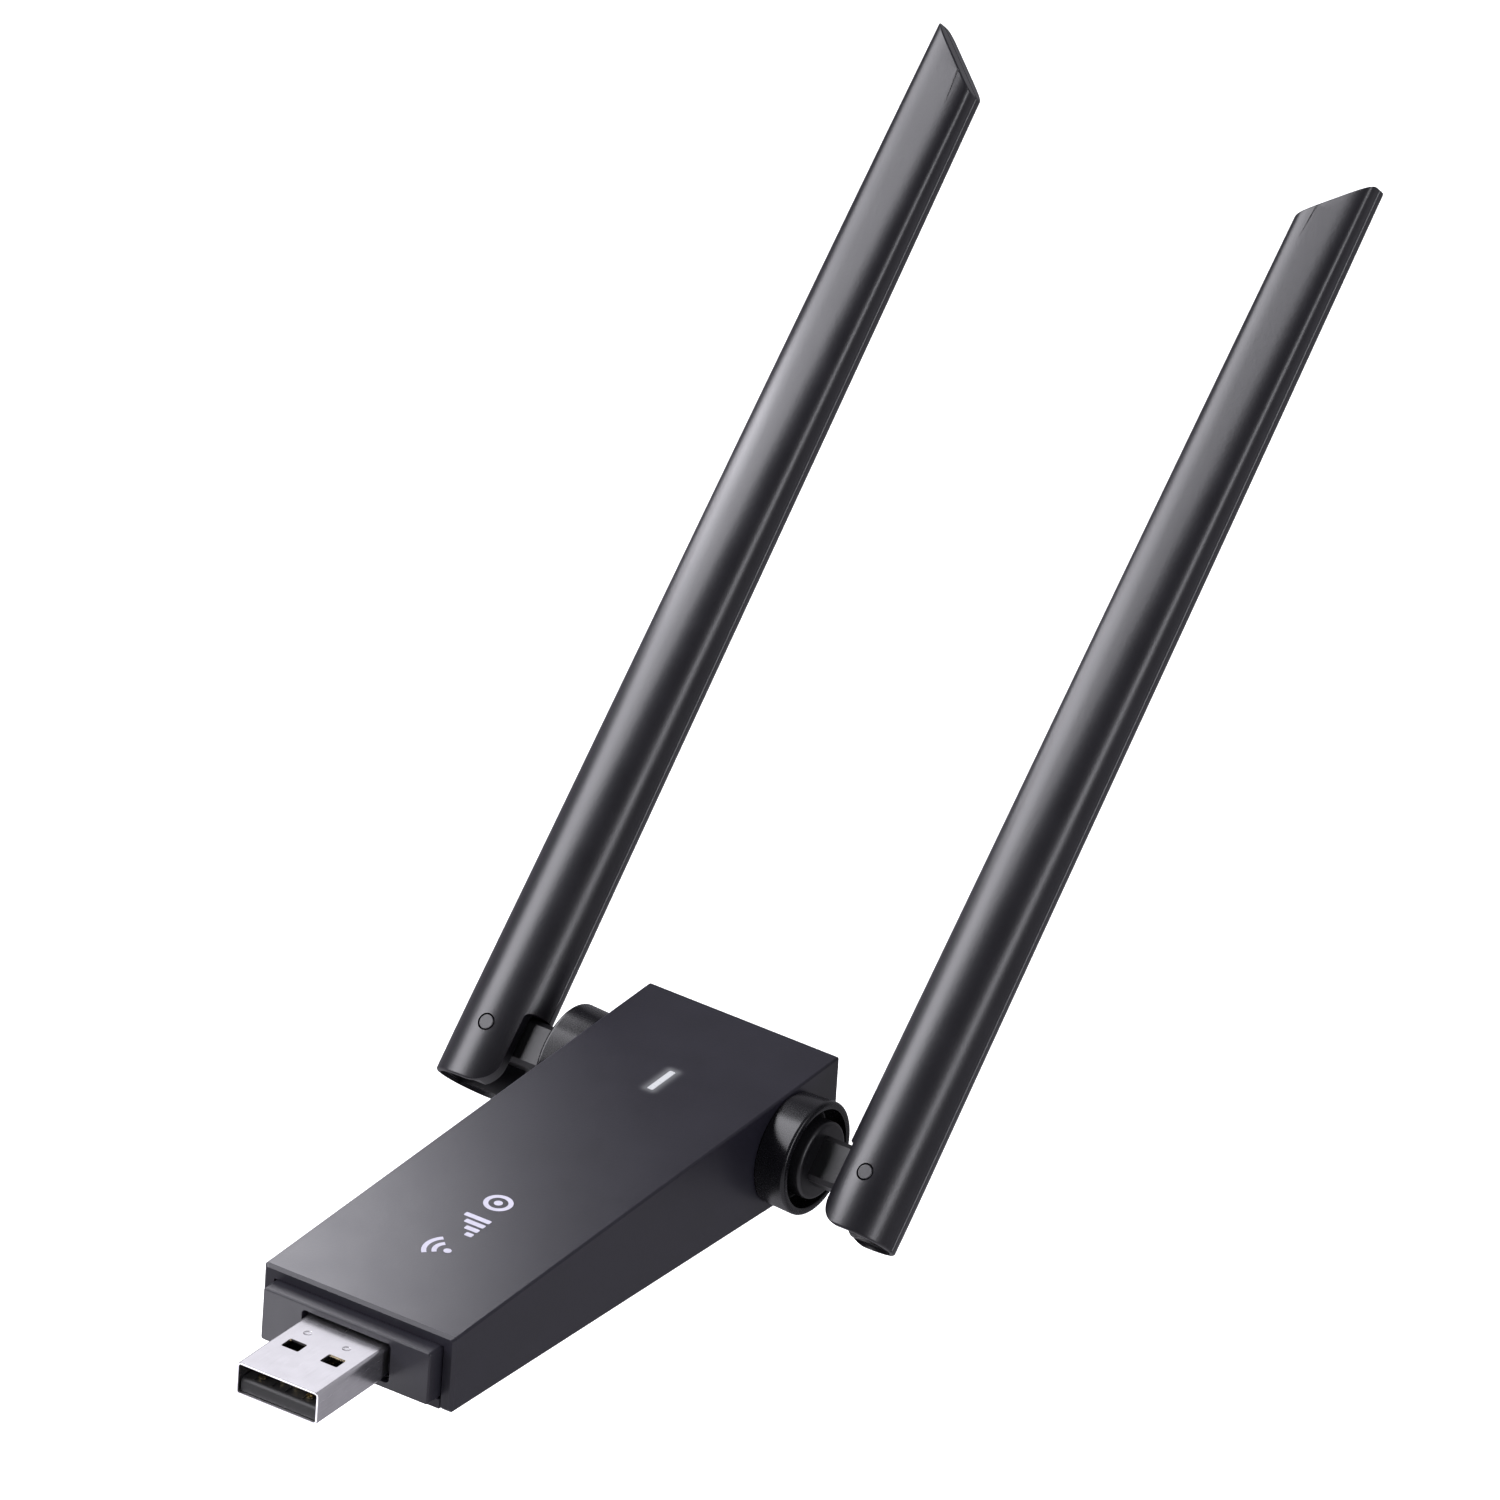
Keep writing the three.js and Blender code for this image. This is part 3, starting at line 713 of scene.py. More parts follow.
class ADAPTER_OT_case(bpy.types.Operator):
    """Models the upper housing and the cover that closes it from below"""

    bl_idname = "adapter.case"
    bl_label = "Case"

    SEAT = 5.9  # radius of the holes for the collars
    GAP = 0.06  # round the light window
    POST, SCREW_HOLE = 2.4, 1.05  # radii
    LABEL_MIDDLE = 42

    def execute(self, context):
        sizes, colours = settings(context)
        plastic = case_plastic(colours)
        self.housing(sizes, plastic)
        self.cover(plastic)
        return {"FINISHED"}

    def housing(self, sizes, plastic):
        """A block lowered at its front, with a chamfered rim, hollowed and pierced."""
        piece = block("case_housing", CASE_LOW, CASE_HIGH)
        with editing(piece, "faces", facing(1, -1)):
            front_scale = half_height(CASE_LOW.y) / CASE_HIGH.z
            bpy.ops.transform.resize(value=(1, 1, front_scale), center_override=(0, 0, 0))
            bpy.ops.mesh.inset(thickness=sizes.rim_chamfer)
        on_side = lambda vert: abs(vert.co.x) / MM > CASE_HIGH.x - SLACK
        with editing(piece, "verts", level(1, CASE_LOW.y), on_side):
            bpy.ops.transform.translate(value=(0, sizes.rim_chamfer, 0))
        outer = lambda edge: edge.calc_face_angle(0) > math.radians(52)
        bevel(piece, sizes.case_edge / MM, 4, outer)
        start, end = CASE_LOW.y - 1, CASE_HIGH.y - CASE_WALL
        side, inner = CASE_HIGH.x - CASE_WALL, half_height(end) - CASE_WALL
        room = block("room", (-side, start, -2 * CASE_HIGH.z), (side, end, inner))
        with editing(room, "edges", level(1, start), level(2, inner)):
            bpy.ops.transform.translate(value=(0, 0, (start - end) * CASE_SLOPE * MM))
        hinge_hole = rod("hinge_hole", self.SEAT, (-20, HINGE.y, 0), (20, HINGE.y, 0), sides=96)
        low = Vector((-LIGHT_WIDTH / 2 - self.GAP, LIGHT_PLACE - LIGHT_LENGTH / 2 - self.GAP, 0))
        high = Vector((-low.x, 2 * LIGHT_PLACE - low.y, 2 * CASE_HIGH.z))
        slot = bevel(block("slot", low, high), 0.2, 4, along(2))
        cut(piece, room, hinge_hole, slot)
        complete(piece, "root", plastic, "case_plastic", "upper_housing")

    def cover(self, plastic):
        """A sloping plate with two screw posts inside and a label recess outside."""
        front = half_height(COVER_LOW.y)
        low, high = (-COVER_HIGH.x, COVER_LOW.y, -front), (COVER_HIGH.x, COVER_HIGH.y, 1.5 - front)
        plate = block("case_cover", low, high)
        shift(plate, (0, 0, (COVER_LOW.y - COVER_HIGH.y) * CASE_SLOPE), facing(1, 1))
        bevel(plate, 0.2, 3, sharp)
        for y in SCREW_PLACES:
            post = rod("post", self.POST, (0, y, 1 - half_height(y)), (0, y, BOARD_LOW.z))
            join(plate, bevel(post, 0.25, 2, level(2, BOARD_LOW.z)))
            cut(plate, rod("screw_hole", self.SCREW_HOLE, (0, y, -3.55), (0, y, 0)))
        middle = self.LABEL_MIDDLE
        label = block("label_recess", (-9, middle - 20, -9), (9, middle + 20, 0.15))
        bevel(label, 1.2, 6, along(2))
        label.rotation_euler.x = -math.atan(CASE_SLOPE)
        forward = middle * (1 - math.cos(label.rotation_euler.x))
        label.location = Vector((0, forward, middle * CASE_SLOPE - half_height(middle))) * MM
        cut(plate, settle(label))
        complete(plate, "root", plastic, "case_plastic", "lower_cover")


class ADAPTER_OT_bezel(bpy.types.Operator):
    """Models the bezel that carries the plug"""

    bl_idname = "adapter.bezel"
    bl_label = "Bezel"

    def execute(self, context):
        sizes, colours = settings(context)
        piece = block("plug_bezel", BEZEL_LOW, BEZEL_HIGH)
        bevel(piece, 0.4, 4, along(1))
        bevel(piece, sizes.bezel_edge / MM, 4, sharp, level(1, BEZEL_LOW.y))
        mouth = block("mouth", (-6.5, -1, -2.7), (6.5, 1.2, 2.7))
        throat = block("throat", (-6.2, 0, -2.45), (6.2, BEZEL_HIGH.y + 1, 2.45))
        bevel(mouth, 0.5, 4, along(1))
        bevel(throat, 0.6, 4, along(1))
        cut(piece, mouth, throat)
        bevel(piece, 0.12, 2, sharp, within((-6.6, -0.1, -2.8), (6.6, 0.1, 2.8)))
        plastic = moulded_plastic("bezel_plastic", colours.bezel, 0.42, 0.17, 0.008, 0.42)
        complete(piece, "root", plastic, "bezel_plastic", "front_bezel")
        return {"FINISHED"}


class ADAPTER_OT_light(bpy.types.Operator):
    """Models the light pipe under its window in the top of the case"""

    bl_idname = "adapter.light"
    bl_label = "Status light"

    def execute(self, context):
        sizes, colours = settings(context)
        low, high = corners("light_pipe")
        start, half = LIGHT_PLACE - LIGHT_LENGTH / 2, LIGHT_WIDTH / 2
        top = half_height(start)
        bar = block("light_window", (-half, start, low.z), (half, start + LIGHT_LENGTH, top))
        bevel(bar, 0.18, 4, along(2))
        with editing(bar, "verts", level(2, top)):
            hinge = Vector((0, start, top)) * MM
            bpy.ops.transform.rotate(value=-math.atan(CASE_SLOPE), orient_axis="X", center_override=hinge)
        bevel(bar, 0.05, 2, sharp, within((-1, 0, top - 0.1)))
        under = top - CASE_WALL - 0.15
        lip = block("lip", (low.x, low.y, under - 0.7), (high.x, high.y, under))
        shift(lip, (0, 0, LIGHT_LENGTH * CASE_SLOPE), facing(1, 1))
        join(bar, bevel(lip, 0.1, 2, sharp))
        complete(bar, "root", milky_lens(colours.light), "clear_lens", "light_pipe")
        return {"FINISHED"}


class ADAPTER_OT_print(bpy.types.Operator):
    """Prints a row of plain signs on the top: a signal fan, rising bars and a ringed dot"""

    bl_idname = "adapter.print"
    bl_label = "Printed signs"

    MIDDLE = (0.5, 24.5)
    HEIGHT = 3.7
    THICKNESS = 0.03

    def execute(self, context):
        sizes, colours = settings(context)
        stroke = sizes.print_stroke / MM
        signs = [*self.fan(stroke, -6.1), *self.bars(stroke, 0.4), *self.ringed_dot(stroke, 6.6)]
        piece = signs[0]
        choose(piece)
        for sign in signs:
            sign.select_set(True)
        bpy.ops.object.join()
        piece.name = piece.data.name = "printed_signs"
        piece.rotation_euler.x = math.atan(CASE_SLOPE)
        x, y = self.MIDDLE
        piece.location = Vector((x, y, half_height(y) - 0.015)) * MM
        settle(piece)
        complete(piece, "root", printing_ink(colours.ink), None)
        return {"FINISHED"}

    def ring(self, middle, outer, stroke):
        """A flat ring of ink about a point, its top towards -X."""
        piece = rod("ring", outer, (*middle, 0), (*middle, self.THICKNESS))
        return cut(piece, rod("hole", outer - stroke, (*middle, -1), (*middle, 1)))

    def fan(self, stroke, start):
        """A dot with two arcs over it."""
        foot = self.HEIGHT / 2 - 0.5
        dot = rod("dot", 0.5, (foot, start, 0), (foot, start, self.THICKNESS), sides=32)
        arcs = []
        for outer in (1.95, 3.2):
            arc = self.ring((foot, start), outer, stroke)
            slice_off(arc, (foot, start, 0), (1, 1, 0))
            slice_off(arc, (foot, start, 0), (1, -1, 0))
            arcs.append(arc)
        return [dot, *arcs]

    def bars(self, stroke, middle):
        """Four bars, each taller than the last."""
        bars = []
        for i in range(4):
            left, foot = middle + (i - 2) * 1.25 + 0.2, self.HEIGHT / 2
            tall = self.HEIGHT * (i + 1.2) / 4.2
            bar = block("bar", (foot - tall, left, 0), (foot, left + stroke * 1.25, self.THICKNESS))
            bars.append(bevel(bar, 0.15, 3, along(2)))
        return bars

    def ringed_dot(self, stroke, middle):
        """A dot in a ring."""
        dot = rod("dot", 0.55, (0, middle, 0), (0, middle, self.THICKNESS), sides=32)
        return [dot, self.ring((0, middle), self.HEIGHT / 2, stroke)]


class ADAPTER_OT_plug(bpy.types.Operator):
    """Models the plug: its bent shell, the tongue inside it and the four contacts"""

    bl_idname = "adapter.plug"
    bl_label = "Plug"

    WINDOW_WIDTH, WINDOW_LENGTH = 2.5, 2.1
    WINDOW_X, WINDOW_Y = 2.85, 7.5  # from the plug's axis, and from its tip
    TAB, TAB_LINE = 1.2, 0.08  # half the width of the seam's dovetails, and the width of their outline

    def execute(self, context):
        sizes, colours = settings(context)
        self.shell(sizes, colours)
        self.tongue(colours)
        gold = plated_metal("gold_plate", colours.gold, 0.22)
        for number in range(1, 5):
            self.contact(number, gold)
        return {"FINISHED"}

    def shell(self, sizes, colours):
        piece = block("plug_shell", PLUG_LOW, PLUG_HIGH)
        with editing(piece, "faces", lambda face: abs(face.normal.y) > 0.99):
            bpy.ops.mesh.delete(type="FACE")
        bevel(piece, sizes.plug_corner / MM, 8, along(1))
        apply_modifier(piece, "SOLIDIFY", thickness=sizes.sheet, offset=-1, use_even_offset=True)
        bevel(piece, 0.07, 2, sharp, level(1, PLUG_LOW.y))
        half = Vector((self.WINDOW_WIDTH / 2, self.WINDOW_LENGTH / 2, 9))
        middle = PLUG_LOW.y + self.WINDOW_Y
        tools = []
        for x in (-self.WINDOW_X, self.WINDOW_X):
            centre = Vector((x, middle, 0))
            tools.append(bevel(block("window", centre - half, centre + half), 0.22, 4, along(2)))
        for x in (-self.WINDOW_X - 0.4, self.WINDOW_X - 0.4):
            place = Vector((x, middle + 3.4, 3.52)) * MM
            bpy.ops.object.select_all(action="DESELECT")
            bpy.ops.mesh.primitive_uv_sphere_add(segments=32, ring_count=16, radius=1.4 * MM, location=place)
            tools.append(started("dent"))
        cut(piece, *tools, *self.seam())
        nickel = plated_metal("nickel_plate", colours.nickel, 0.24)
        complete(piece, "root", nickel, "plated_steel", "usb_shell")

    def seam(self):
        """The joint of the bent sheet under the plug, which steps round two dovetails."""
        slits = [block("slit", (-0.04, PLUG_LOW.y - 1, -3), (0.04, 0, PLUG_LOW.z + 0.2))]
        half, core = self.TAB, self.TAB - self.TAB_LINE
        for y in (-11.5, -3.5):
            tab = block("tab", (-half, y, -3), (half, y + 2.2, PLUG_LOW.z + 0.12))
            heart = block("heart", (-core, y + self.TAB_LINE, -4), (core, y + 2.2 - self.TAB_LINE, 0))
            slits.append(cut(tab, heart))
        return slits

    def tongue(self, colours):
        top, step = -0.1, -2.2
        piece = block("plug_tongue", TONGUE_LOW, (TONGUE_HIGH.x, TONGUE_HIGH.y, top))
        bevel(piece, 0.6, 4, level(1, TONGUE_LOW.y), level(2, top))
        back = block("back", (TONGUE_LOW.x, step, top - 0.5), TONGUE_HIGH)
        join(piece, back)
        for x in (-3.5, -1, 1, 3.5):
            floor, end = top - 0.12, TONGUE_HIGH.y + 1
            channel = block("channel", (x - 0.62, TONGUE_LOW.y + 0.7, floor), (x + 0.62, step, top + 1))
            passage = block("passage", (x - 0.6, step - 1, floor), (x + 0.6, end, top + 0.35))
            cut(piece, channel, passage)
        black = moulded_plastic("black_moulding", colours.moulding, 0.5, 0.12, 0.006)
        complete(piece, "root", black, "black_moulding", "usb_insulator")

    def contact(self, number, gold):
        """A strip that bows up near its front end and steps down to the board at its back."""
        node = f"usb_contact_{number}"
        low, high = corners(node)
        bend, foot = TONGUE_HIGH.y + 0.4, TONGUE_HIGH.y + 1
        strip = block(f"contact_strip_{number}", (low.x, low.y, -0.1), (high.x, high.y, 0.1))
        for y in (low.y + 0.35, low.y + 1.0, low.y + 1.8, bend, foot):
            with editing(strip, "faces"):
                bpy.ops.mesh.bisect(plane_co=(0, y * MM, 0), plane_no=(0, 1, 0))
        with editing(strip, "verts", within((-FAR, foot, -FAR))):
            bpy.ops.transform.translate(value=(0, 0, (low.z + 0.1) * MM))
            select(strip, "verts", within((-FAR, low.y + 0.3, -FAR), (FAR, low.y + 1.1, FAR)))
            bpy.ops.transform.translate(value=(0, 0, 0.09 * MM))
        bevel(strip, 0.3, 4, level(1, low.y), along(2))
        complete(strip, "root", gold, "gold_plate", node)


class ADAPTER_OT_hinges(bpy.types.Operator):
    """Models the fixed collars and the stems that turn in them"""

    bl_idname = "adapter.hinges"
    bl_label = "Hinges"

    FACE, BOSS_FACE = 18.6, 19.4  # how far out the collar and the boss in it reach

    def execute(self, context):
        sizes, colours = settings(context)
        gloss = moulded_plastic("gloss_plastic", colours.gloss, 0.27, 0.25, 0.0008, 0.34)
        satin = moulded_plastic("satin_plastic", colours.gloss, 0.42, 0.2, 0.002, 0.46)
        collar = self.collar(sizes)
        collar.location.y = HINGE.y * MM
        settle(collar)
        stem = swung(self.stem(sizes))
        made = (collar, "collar", "root", gloss), (stem, "stem", "{}_swivel", satin)
        for piece, kind, body, plastic in made:
            left = mirrored(piece, f"left_{kind}_piece")
            for each, side in ((piece, "right"), (left, "left")):
                complete(each, body.format(side), plastic, "gloss_plastic", f"{side}_{kind}")
        return {"FINISHED"}

    def collar(self, sizes):
        radius = COLLAR_HIGH.z
        narrow = radius - sizes.barrel_flare / MM
        case, face, floor = CASE_HIGH.x, self.FACE, self.FACE - 3.1
        piece = turned(
            "right_collar_piece",
            [
                (11.6, 3.3), (11.6, 5.6), (case, 5.6), (case, narrow - 0.2), (case + 0.2, narrow),
                (face, radius), (face, radius - 1.03), (floor, radius - 1.03), (floor, 3.3),
            ],
        )
        bevel(piece, 0.5, 5, sharp, level(0, face), ringed(radius - 0.1))
        bevel(piece, 0.2, 3, sharp, level(0, face))
        return bevel(piece, 0.3, 3, sharp, level(0, floor), within((0, -6.5, -6.5), (FAR, 6.5, 6.5)))

    def stem(self, sizes):
        face, back, edge = self.BOSS_FACE, self.FACE - 2.8, sizes.boss_edge / MM
        boss = turned(
            "right_stem_piece",
            [
                (9.2, 1.2), (9.2, 3), (10.3, 3), (10.3, 2.4), (10.9, 2.4), (10.9, 3),
                (back, 3), (back, 5), (face, 5), (face, 1.2),
            ],
        )
        bevel(boss, edge, 5, sharp, level(0, face), ringed(4.95, 5.05))
        height, thick = BLADE_HALF_HEIGHT, BLADE_HALF_THICKNESS
        blade = block("blade", (face - 0.6, -thick, -height), (HINGE.x + height, thick, height))
        bevel(blade, sizes.blade_chamfer / MM, 1, along(0))
        bevel(blade, height - sizes.blade_chamfer / MM, 10, sharp, level(0, HINGE.x + height), along(1))
        join(boss, blade)
        hole = rod("pin_hole", PIN_HOLE, (HINGE.x, -9, 0), (HINGE.x, 9, 0), sides=48)
        return cut(boss, hole, rod("wire_way", 1.2, (face - 1, 0, 0), (face + 2, 0, 0), sides=96))


class ADAPTER_OT_aerials(bpy.types.Operator):
    """Models the two shells of each aerial and the pin that it folds on"""

    bl_idname = "adapter.aerials"
    bl_label = "Aerials"

    SIDES = 96
    RINGS = 28

    def execute(self, context):
        sizes, colours = settings(context)
        plastic = moulded_plastic("aerial_plastic", colours.aerial, 0.34, 0.2, 0.010)
        made = {
            "aerial_front": self.shell("right_aerial_front_shell", -1, sizes),
            "aerial_back": self.shell("right_aerial_back_shell", 1, sizes),
            "hinge_pin": self.pin("right_pin", sizes),
        }
        for kind, piece in made.items():
            swung(piece, HINGE.x)
            left = mirrored(piece, piece.name.replace("right", "left"))
            for each, side in ((piece, "right"), (left, "left")):
                complete(each, f"{side}_aerial", plastic, "aerial_plastic", f"{side}_{kind}")
        return {"FINISHED"}

    def bar(self, name, inset, low, high):
        """The tapering bar: near an ellipse at the foot, a rounded rectangle at the tip."""
        piece = rod(name, 1 / MM, (0, 0, low), (0, 0, high), sides=self.SIDES)
        with editing(piece, "edges", along(2)):
            bpy.ops.mesh.subdivide(number_cuts=self.RINGS)
        foot, tip = (Vector(section) for section in AERIAL_SECTION.values())
        for vert in piece.data.vertices:
            share = min(max(vert.co.z / MM / AERIAL_TIP, 0), 1)
            width, depth, _ = foot.lerp(tip, share) - Vector((inset, inset, 0))
            square = foot.z + (tip.z - foot.z) * share**2
            reach = math.hypot(vert.co.x, vert.co.y)
            x, y = (math.copysign(abs(part / reach) ** (2 / square), part) for part in vert.co.xy)
            vert.co.x = x * width * MM
            vert.co.y = (y * depth - AERIAL_FORWARD) * MM
        return piece

    def shell(self, name, sign, sizes):
        """The front shell, for sign -1, or the back shell, for sign 1."""
        piece = self.bar(name, 0, AERIAL_FOOT, AERIAL_TIP)
        slant = (-math.sin(AERIAL_SLANT), 0, math.cos(AERIAL_SLANT))
        slice_off(piece, (AERIAL_SECTION["tip"][0], 0, AERIAL_TIP), slant)
        on_tip = lambda face: face.normal.dot(Vector(slant)) > 0.999
        round_tip = lambda edge: sharp(edge) and any(on_tip(face) for face in edge.link_faces)
        bevel(piece, sizes.tip_edge / MM, 3, round_tip)
        bevel(piece, 0.3, 3, sharp, level(2, AERIAL_FOOT))
        middle = -AERIAL_FORWARD + sign * 0.05
        slice_off(piece, (0, middle, 0), (0, -sign, 0))
        bevel(piece, sizes.parting / MM, 1, sharp, level(1, middle))
        hollow = self.bar("hollow", 1.1, 4.8, 126.5)
        passage = rod("passage", 0.9, (0, 0, 2.3), (0, 0, 5.8), sides=32)
        pin_hole = rod("pin_hole", PIN_HOLE, (0, -20, 0), (0, 20, 0), sides=48)
        foot = self.bar("foot", 0.6, AERIAL_FOOT - 1, AERIAL_FOOT + 0.5)
        return cut(piece, *self.fork(), pin_hole, hollow, passage, foot)

    def fork(self):
        """What is cut from the foot: the slot for the blade, the trimmed leaf and the round heel."""
        slot = block("slot", (-20, -2.5, -20), (4.1, 2.5, 3.3))
        trim = block("trim", (-20, -20, -20), (-3.75, 20, 3.3))
        bevel(trim, 1, 6, level(0, -3.75), level(2, 3.3))
        radius = 3.4
        middle = (radius - 3.75, AERIAL_FOOT + radius)
        heel = block("heel", (-20, -18, -20), (middle[0], 18, middle[1]))
        start, end = (middle[0], -19, middle[1]), (middle[0], 19, middle[1])
        cut(heel, rod("round", radius, start, end, sides=96))
        return slot, trim, heel

    def pin(self, name, sizes):
        """The pin, with a softly rounded head at each end."""
        piece = rod(name, sizes.pin_head / MM, (0, -5.35, 0), (0, 4.35, 0), sides=48)
        return bevel(piece, 0.14, 3, sharp)


class ADAPTER_OT_inside(bpy.types.Operator):
    """Finishes the board, what stands on it, the leads and the small metal parts of the hinges"""

    bl_idname = "adapter.inside"
    bl_label = "Inside"

    def execute(self, context):
        colours = context.scene.adapter_colours
        board = circuit_board(colours.board)
        zinc = plated_metal("zinc_plate", colours.zinc, 0.3, drawn=(1, 1, 1))
        gold = bpy.data.materials["gold_plate"]
        sleeve = moulded_plastic("cable_sleeve", (0.012, 0.012, 0.014), 0.35, 0.25, 0.004)
        finishes = {
            "main_board": board,
            "status_led": lamp_resin((0.90, 0.86, 0.68)),
            "shield_can": pressed_can((0.60, 0.60, 0.62)),
            "wifi_chip": chip_resin("wifi_chip_resin", (0.022, 0.022, 0.024), 9, (0, 26)),
            "clock_crystal": plated_metal("crystal_can", (0.66, 0.66, 0.68), 0.25, drawn=(1, 1, 1)),
            "power_inductor": sintered("ferrite_core", (0.11, 0.10, 0.095)),
            "regulator_chip": chip_resin("regulator_resin", (0.022, 0.022, 0.024), 3, (3.5, 44)),
            "board_screw_front": zinc,
            "board_screw_rear": zinc,
        }
        for side in ("right", "left"):
            finishes |= {
                f"{side}_aerial_socket": gold,
                f"{side}_lead_plug": gold,
                f"{side}_board_lead": sleeve,
                f"{side}_aerial_lead": sleeve,
                f"{side}_radiator": board,
                f"{side}_retaining_clip": zinc,
                f"{side}_friction_washer": zinc,
            }
        for node, finish in finishes.items():
            mesh = frame["nodes"][node].data
            mesh.materials.clear()
            mesh.materials.append(finish)
        return {"FINISHED"}


class ADAPTER_OT_stage(bpy.types.Operator):
    """Makes the pale floor, the white room, the soft lights and the camera"""

    bl_idname = "adapter.stage"
    bl_label = "Stage"

    def execute(self, context):
        stage = context.scene.adapter_stage
        self.floor(stage)
        self.room(context.scene, stage)
        middle = Vector(stage.aim) / MM
        over, below = (-0.466, 0.70, 0.541), (-0.466, -0.734, -0.494)
        self.softbox("front_left_softbox", middle, (-0.709, -0.427, 0.561), 0.75, (0.46, 0.9), 12.0)
        self.softbox("right_softbox", middle, (0.914, -0.214, 0.369), 0.8, (0.18, 0.9), 4.4)
        plug, bezel = "plug_shell", "plug_bezel"
        self.softbox("top_softbox", (-22, -12, 4), over, 0.16, (0.06, 0.06), 0.10, plug, "EXCLUDE")
        self.softbox("plug_softbox", (0, -7, 2), over, 0.5, (0.4, 0.4), 0.35, plug)
        self.softbox("bezel_softbox", (-12, 0, 1), below, 0.06, (0.022, 0.022), 0.012, bezel)
        self.softbox("mouth_softbox", (0, -14, 0), below, 0.5, (0.3, 0.3), 0.4, plug)
        self.camera(context.scene, stage)
        context.scene.view_settings.view_transform = "Standard"
        return {"FINISHED"}

    def floor(self, stage):
        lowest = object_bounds()[0].z
        bpy.ops.object.select_all(action="DESELECT")
        bpy.ops.mesh.primitive_plane_add(size=60, location=(0, 0, lowest - stage.floor_drop))
        floor = started("floor")
        finish = Finish("floor_paper")
        grain = finish.noise(1.0, detail=3.0)
        finish.set(Base_Color=finish.mix((0.93, 0.93, 0.93), (0.95, 0.95, 0.95), grain), Roughness=0.9)
        from_below = finish.node("ShaderNodeNewGeometry", output="Backfacing")
        paper = Field(finish, finish.shader.outputs[0])
        clear = finish.node("ShaderNodeBsdfTransparent")
        seen = finish.node("ShaderNodeMixShader", None, {0: from_below, 1: paper, 2: clear})
        finish.feed(finish.nodes["Material Output"].inputs["Surface"], seen)
        floor.data.materials.append(finish.material)
        floor.visible_glossy = False
        floor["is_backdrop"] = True

    def room(self, scene, stage):
        """White to the eye and as light, and darker in what shines, as between black studio cards."""
        scene.world = world = bpy.data.worlds.new("room")
        sheet = NodeSheet(world)
        direction = {0: sheet.node("ShaderNodeTexCoord", output="Generated")}
        behind = sheet.node("ShaderNodeSeparateXYZ", None, direction, "Y").rising(-0.1, 0.4)
        below = 1 - sheet.node("ShaderNodeSeparateXYZ", None, direction, "Z").rising(-0.45, -0.05)
        front = below * (stage.mirrored_floor - stage.mirrored_dark) + stage.mirrored_dark
        mirrored = behind * stage.mirrored_backdrop + (1 - behind) * front
        shining = sheet.node("ShaderNodeLightPath", output="Is Glossy Ray")
        strength = shining * mirrored + (1 - shining) * stage.ambient
        background = sheet.nodes["Background"]
        sheet.feed(background.inputs["Color"], sheet.mix((1, 1, 1), (0.93, 0.91, 1), shining))
        sheet.feed(background.inputs["Strength"], strength)

    def softbox(self, name, middle, direction, distance, size, power, piece=None, state="INCLUDE"):
        """A light, its distance and size in metres, that shines on a place from one direction.

        Its long side runs as the aerials do. It lights only the piece that is named, or all but it.
        """
        up = Quaternion((1, 0, 0), SWIVEL_TURN) @ Vector((0, 0, 1))
        away = Vector(direction).normalized()
        across = up.cross(away).normalized()
        light = bpy.data.lights.new(name, "AREA")
        light.shape = "RECTANGLE"
        light.size, light.size_y = size
        light.energy = power
        light.color = (0.95, 0.94, 1.0)
        lamp = bpy.data.objects.new(name, light)
        bpy.context.scene.collection.objects.link(lamp)
        turn = Matrix((across, away.cross(across), away)).transposed().to_4x4()
        lamp.matrix_world = Matrix.Translation(Vector(middle) * MM + away * distance) @ turn
        lamp.visible_camera = False
        if piece:
            lit = bpy.data.collections.new(f"{name}_pieces")
            lit.objects.link(bpy.data.objects[piece])
            lit.collection_objects[0].light_linking.link_state = state
            lamp.light_linking.receiver_collection = lit

    def camera(self, scene, stage):
        camera = bpy.data.cameras.new("camera")
        camera.lens = stage.lens
        camera.clip_start, camera.clip_end = 0.1, 100
        holder = bpy.data.objects.new("camera", camera)
        scene.collection.objects.link(holder)
        back = Vector((0, -math.cos(stage.elevation), math.sin(stage.elevation)))
        back.rotate(Quaternion((0, 0, 1), stage.azimuth))
        holder.location = Vector(stage.aim) + back * stage.distance
        holder.rotation_mode = "QUATERNION"
        holder.rotation_quaternion = back.to_track_quat("Z", "Y") @ Quaternion((0, 0, 1), stage.roll)
        scene.camera = holder


PIECES = (
    ADAPTER_OT_case,
    ADAPTER_OT_bezel,
    ADAPTER_OT_light,
    ADAPTER_OT_print,
    ADAPTER_OT_plug,
    ADAPTER_OT_hinges,
    ADAPTER_OT_aerials,
    ADAPTER_OT_inside,
    ADAPTER_OT_stage,
)


class ADAPTER_PT_panel(bpy.types.Panel):
    """Lists the adapter's pieces, sizes and colours"""

    bl_label = "USB wifi adapter"
    bl_idname = "ADAPTER_PT_panel"
    bl_space_type = "VIEW_3D"
    bl_region_type = "UI"
    bl_category = "Adapter"

    def draw(self, context):
        for operator in PIECES:
            self.layout.operator(operator.bl_idname)
        for name, group in GROUPS.items():
            box = self.layout.box()
            for setting in group.__annotations__:
                box.prop(getattr(context.scene, name), setting)


GROUPS = {
    "adapter_sizes": AdapterSizes,
    "adapter_colours": AdapterColours,
    "adapter_stage": AdapterStage,
}


def register():
    for group in (*GROUPS.values(), *PIECES, ADAPTER_PT_panel):
        bpy.utils.register_class(group)
    for name, group in GROUPS.items():
        setattr(bpy.types.Scene, name, PointerProperty(type=group))


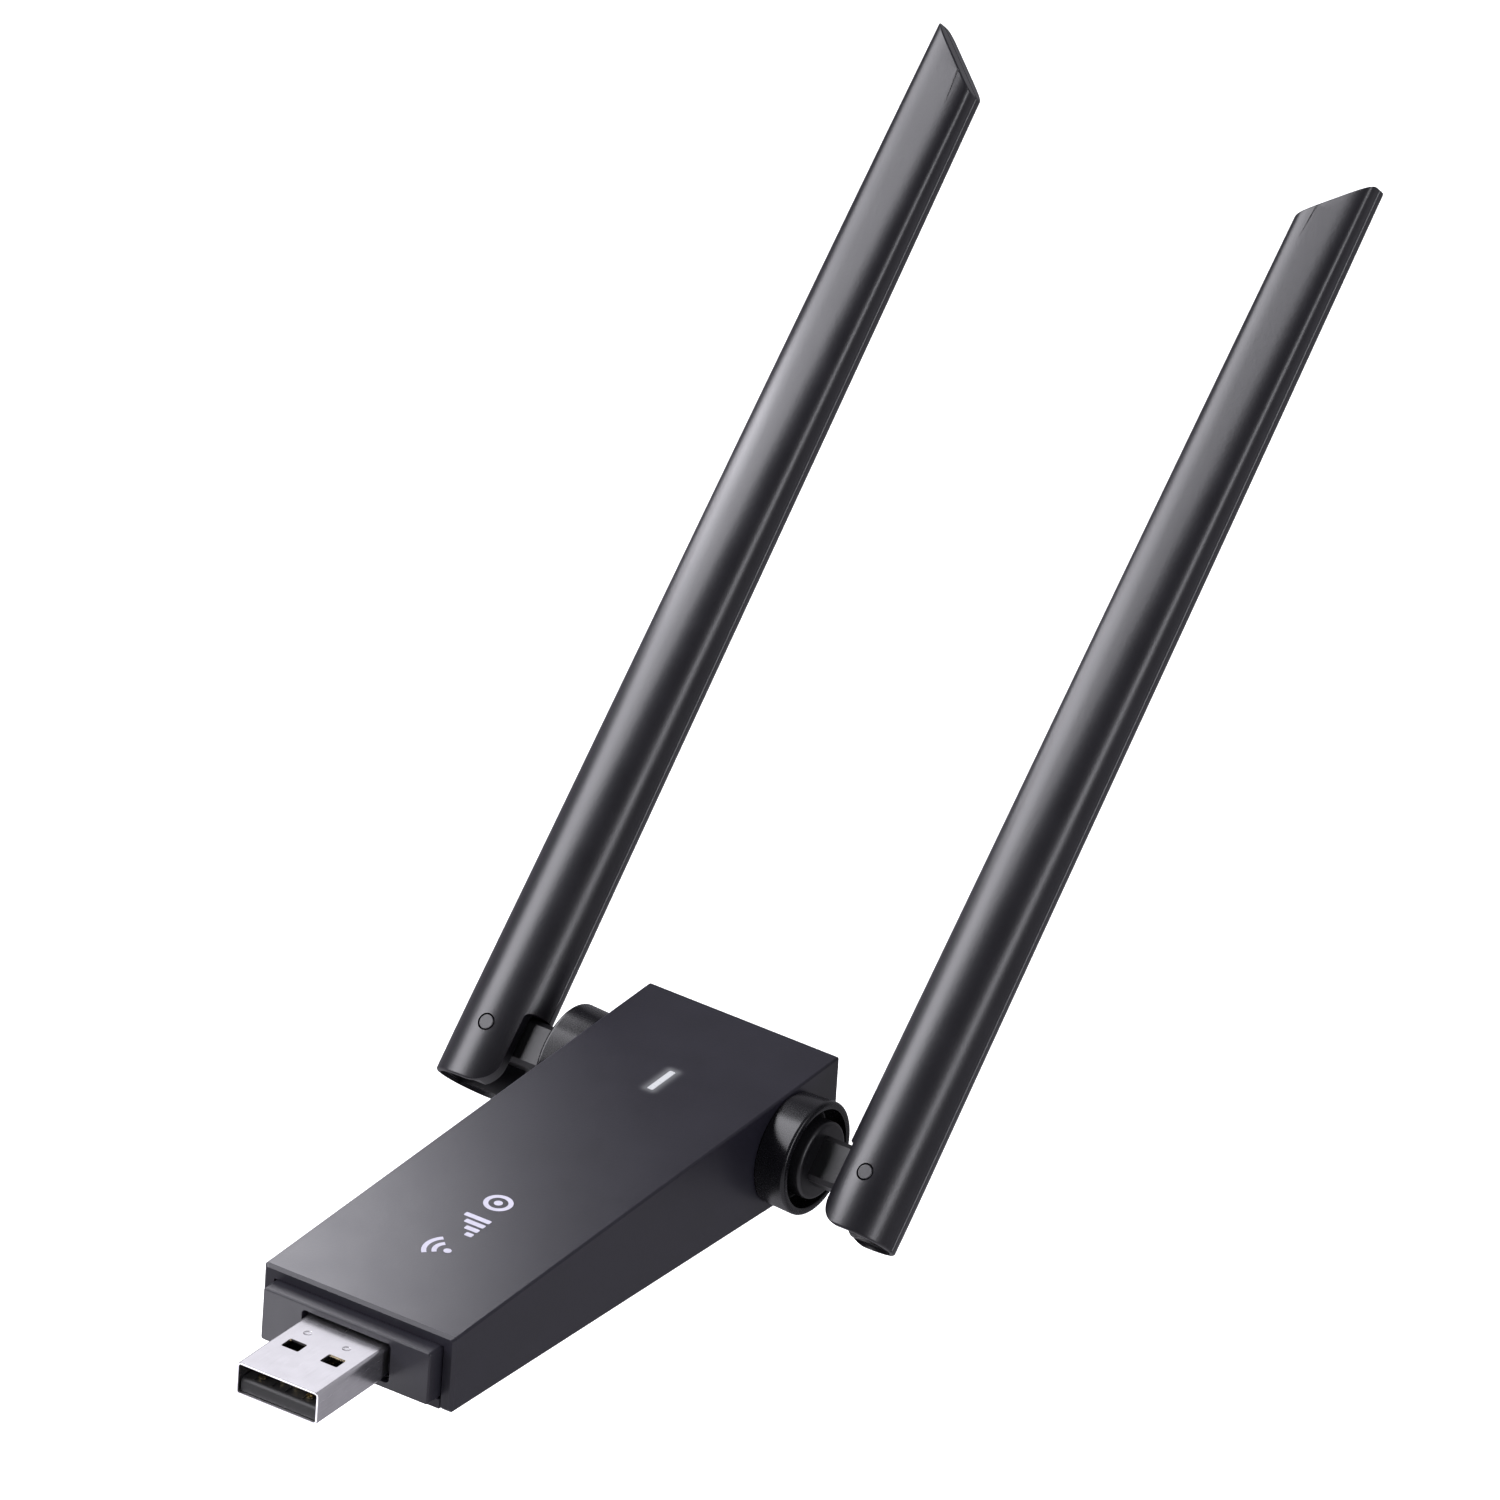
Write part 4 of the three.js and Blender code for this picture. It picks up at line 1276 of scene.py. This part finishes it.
def unregister():
    for name in GROUPS:
        delattr(bpy.types.Scene, name)
    for group in reversed((*GROUPS.values(), *PIECES, ADAPTER_PT_panel)):
        bpy.utils.unregister_class(group)


def main():
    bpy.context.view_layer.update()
    register()
    for operator in PIECES:
        family, name = operator.bl_idname.split(".")
        getattr(getattr(bpy.ops, family), name)()


if __name__ == "__main__":
    main()
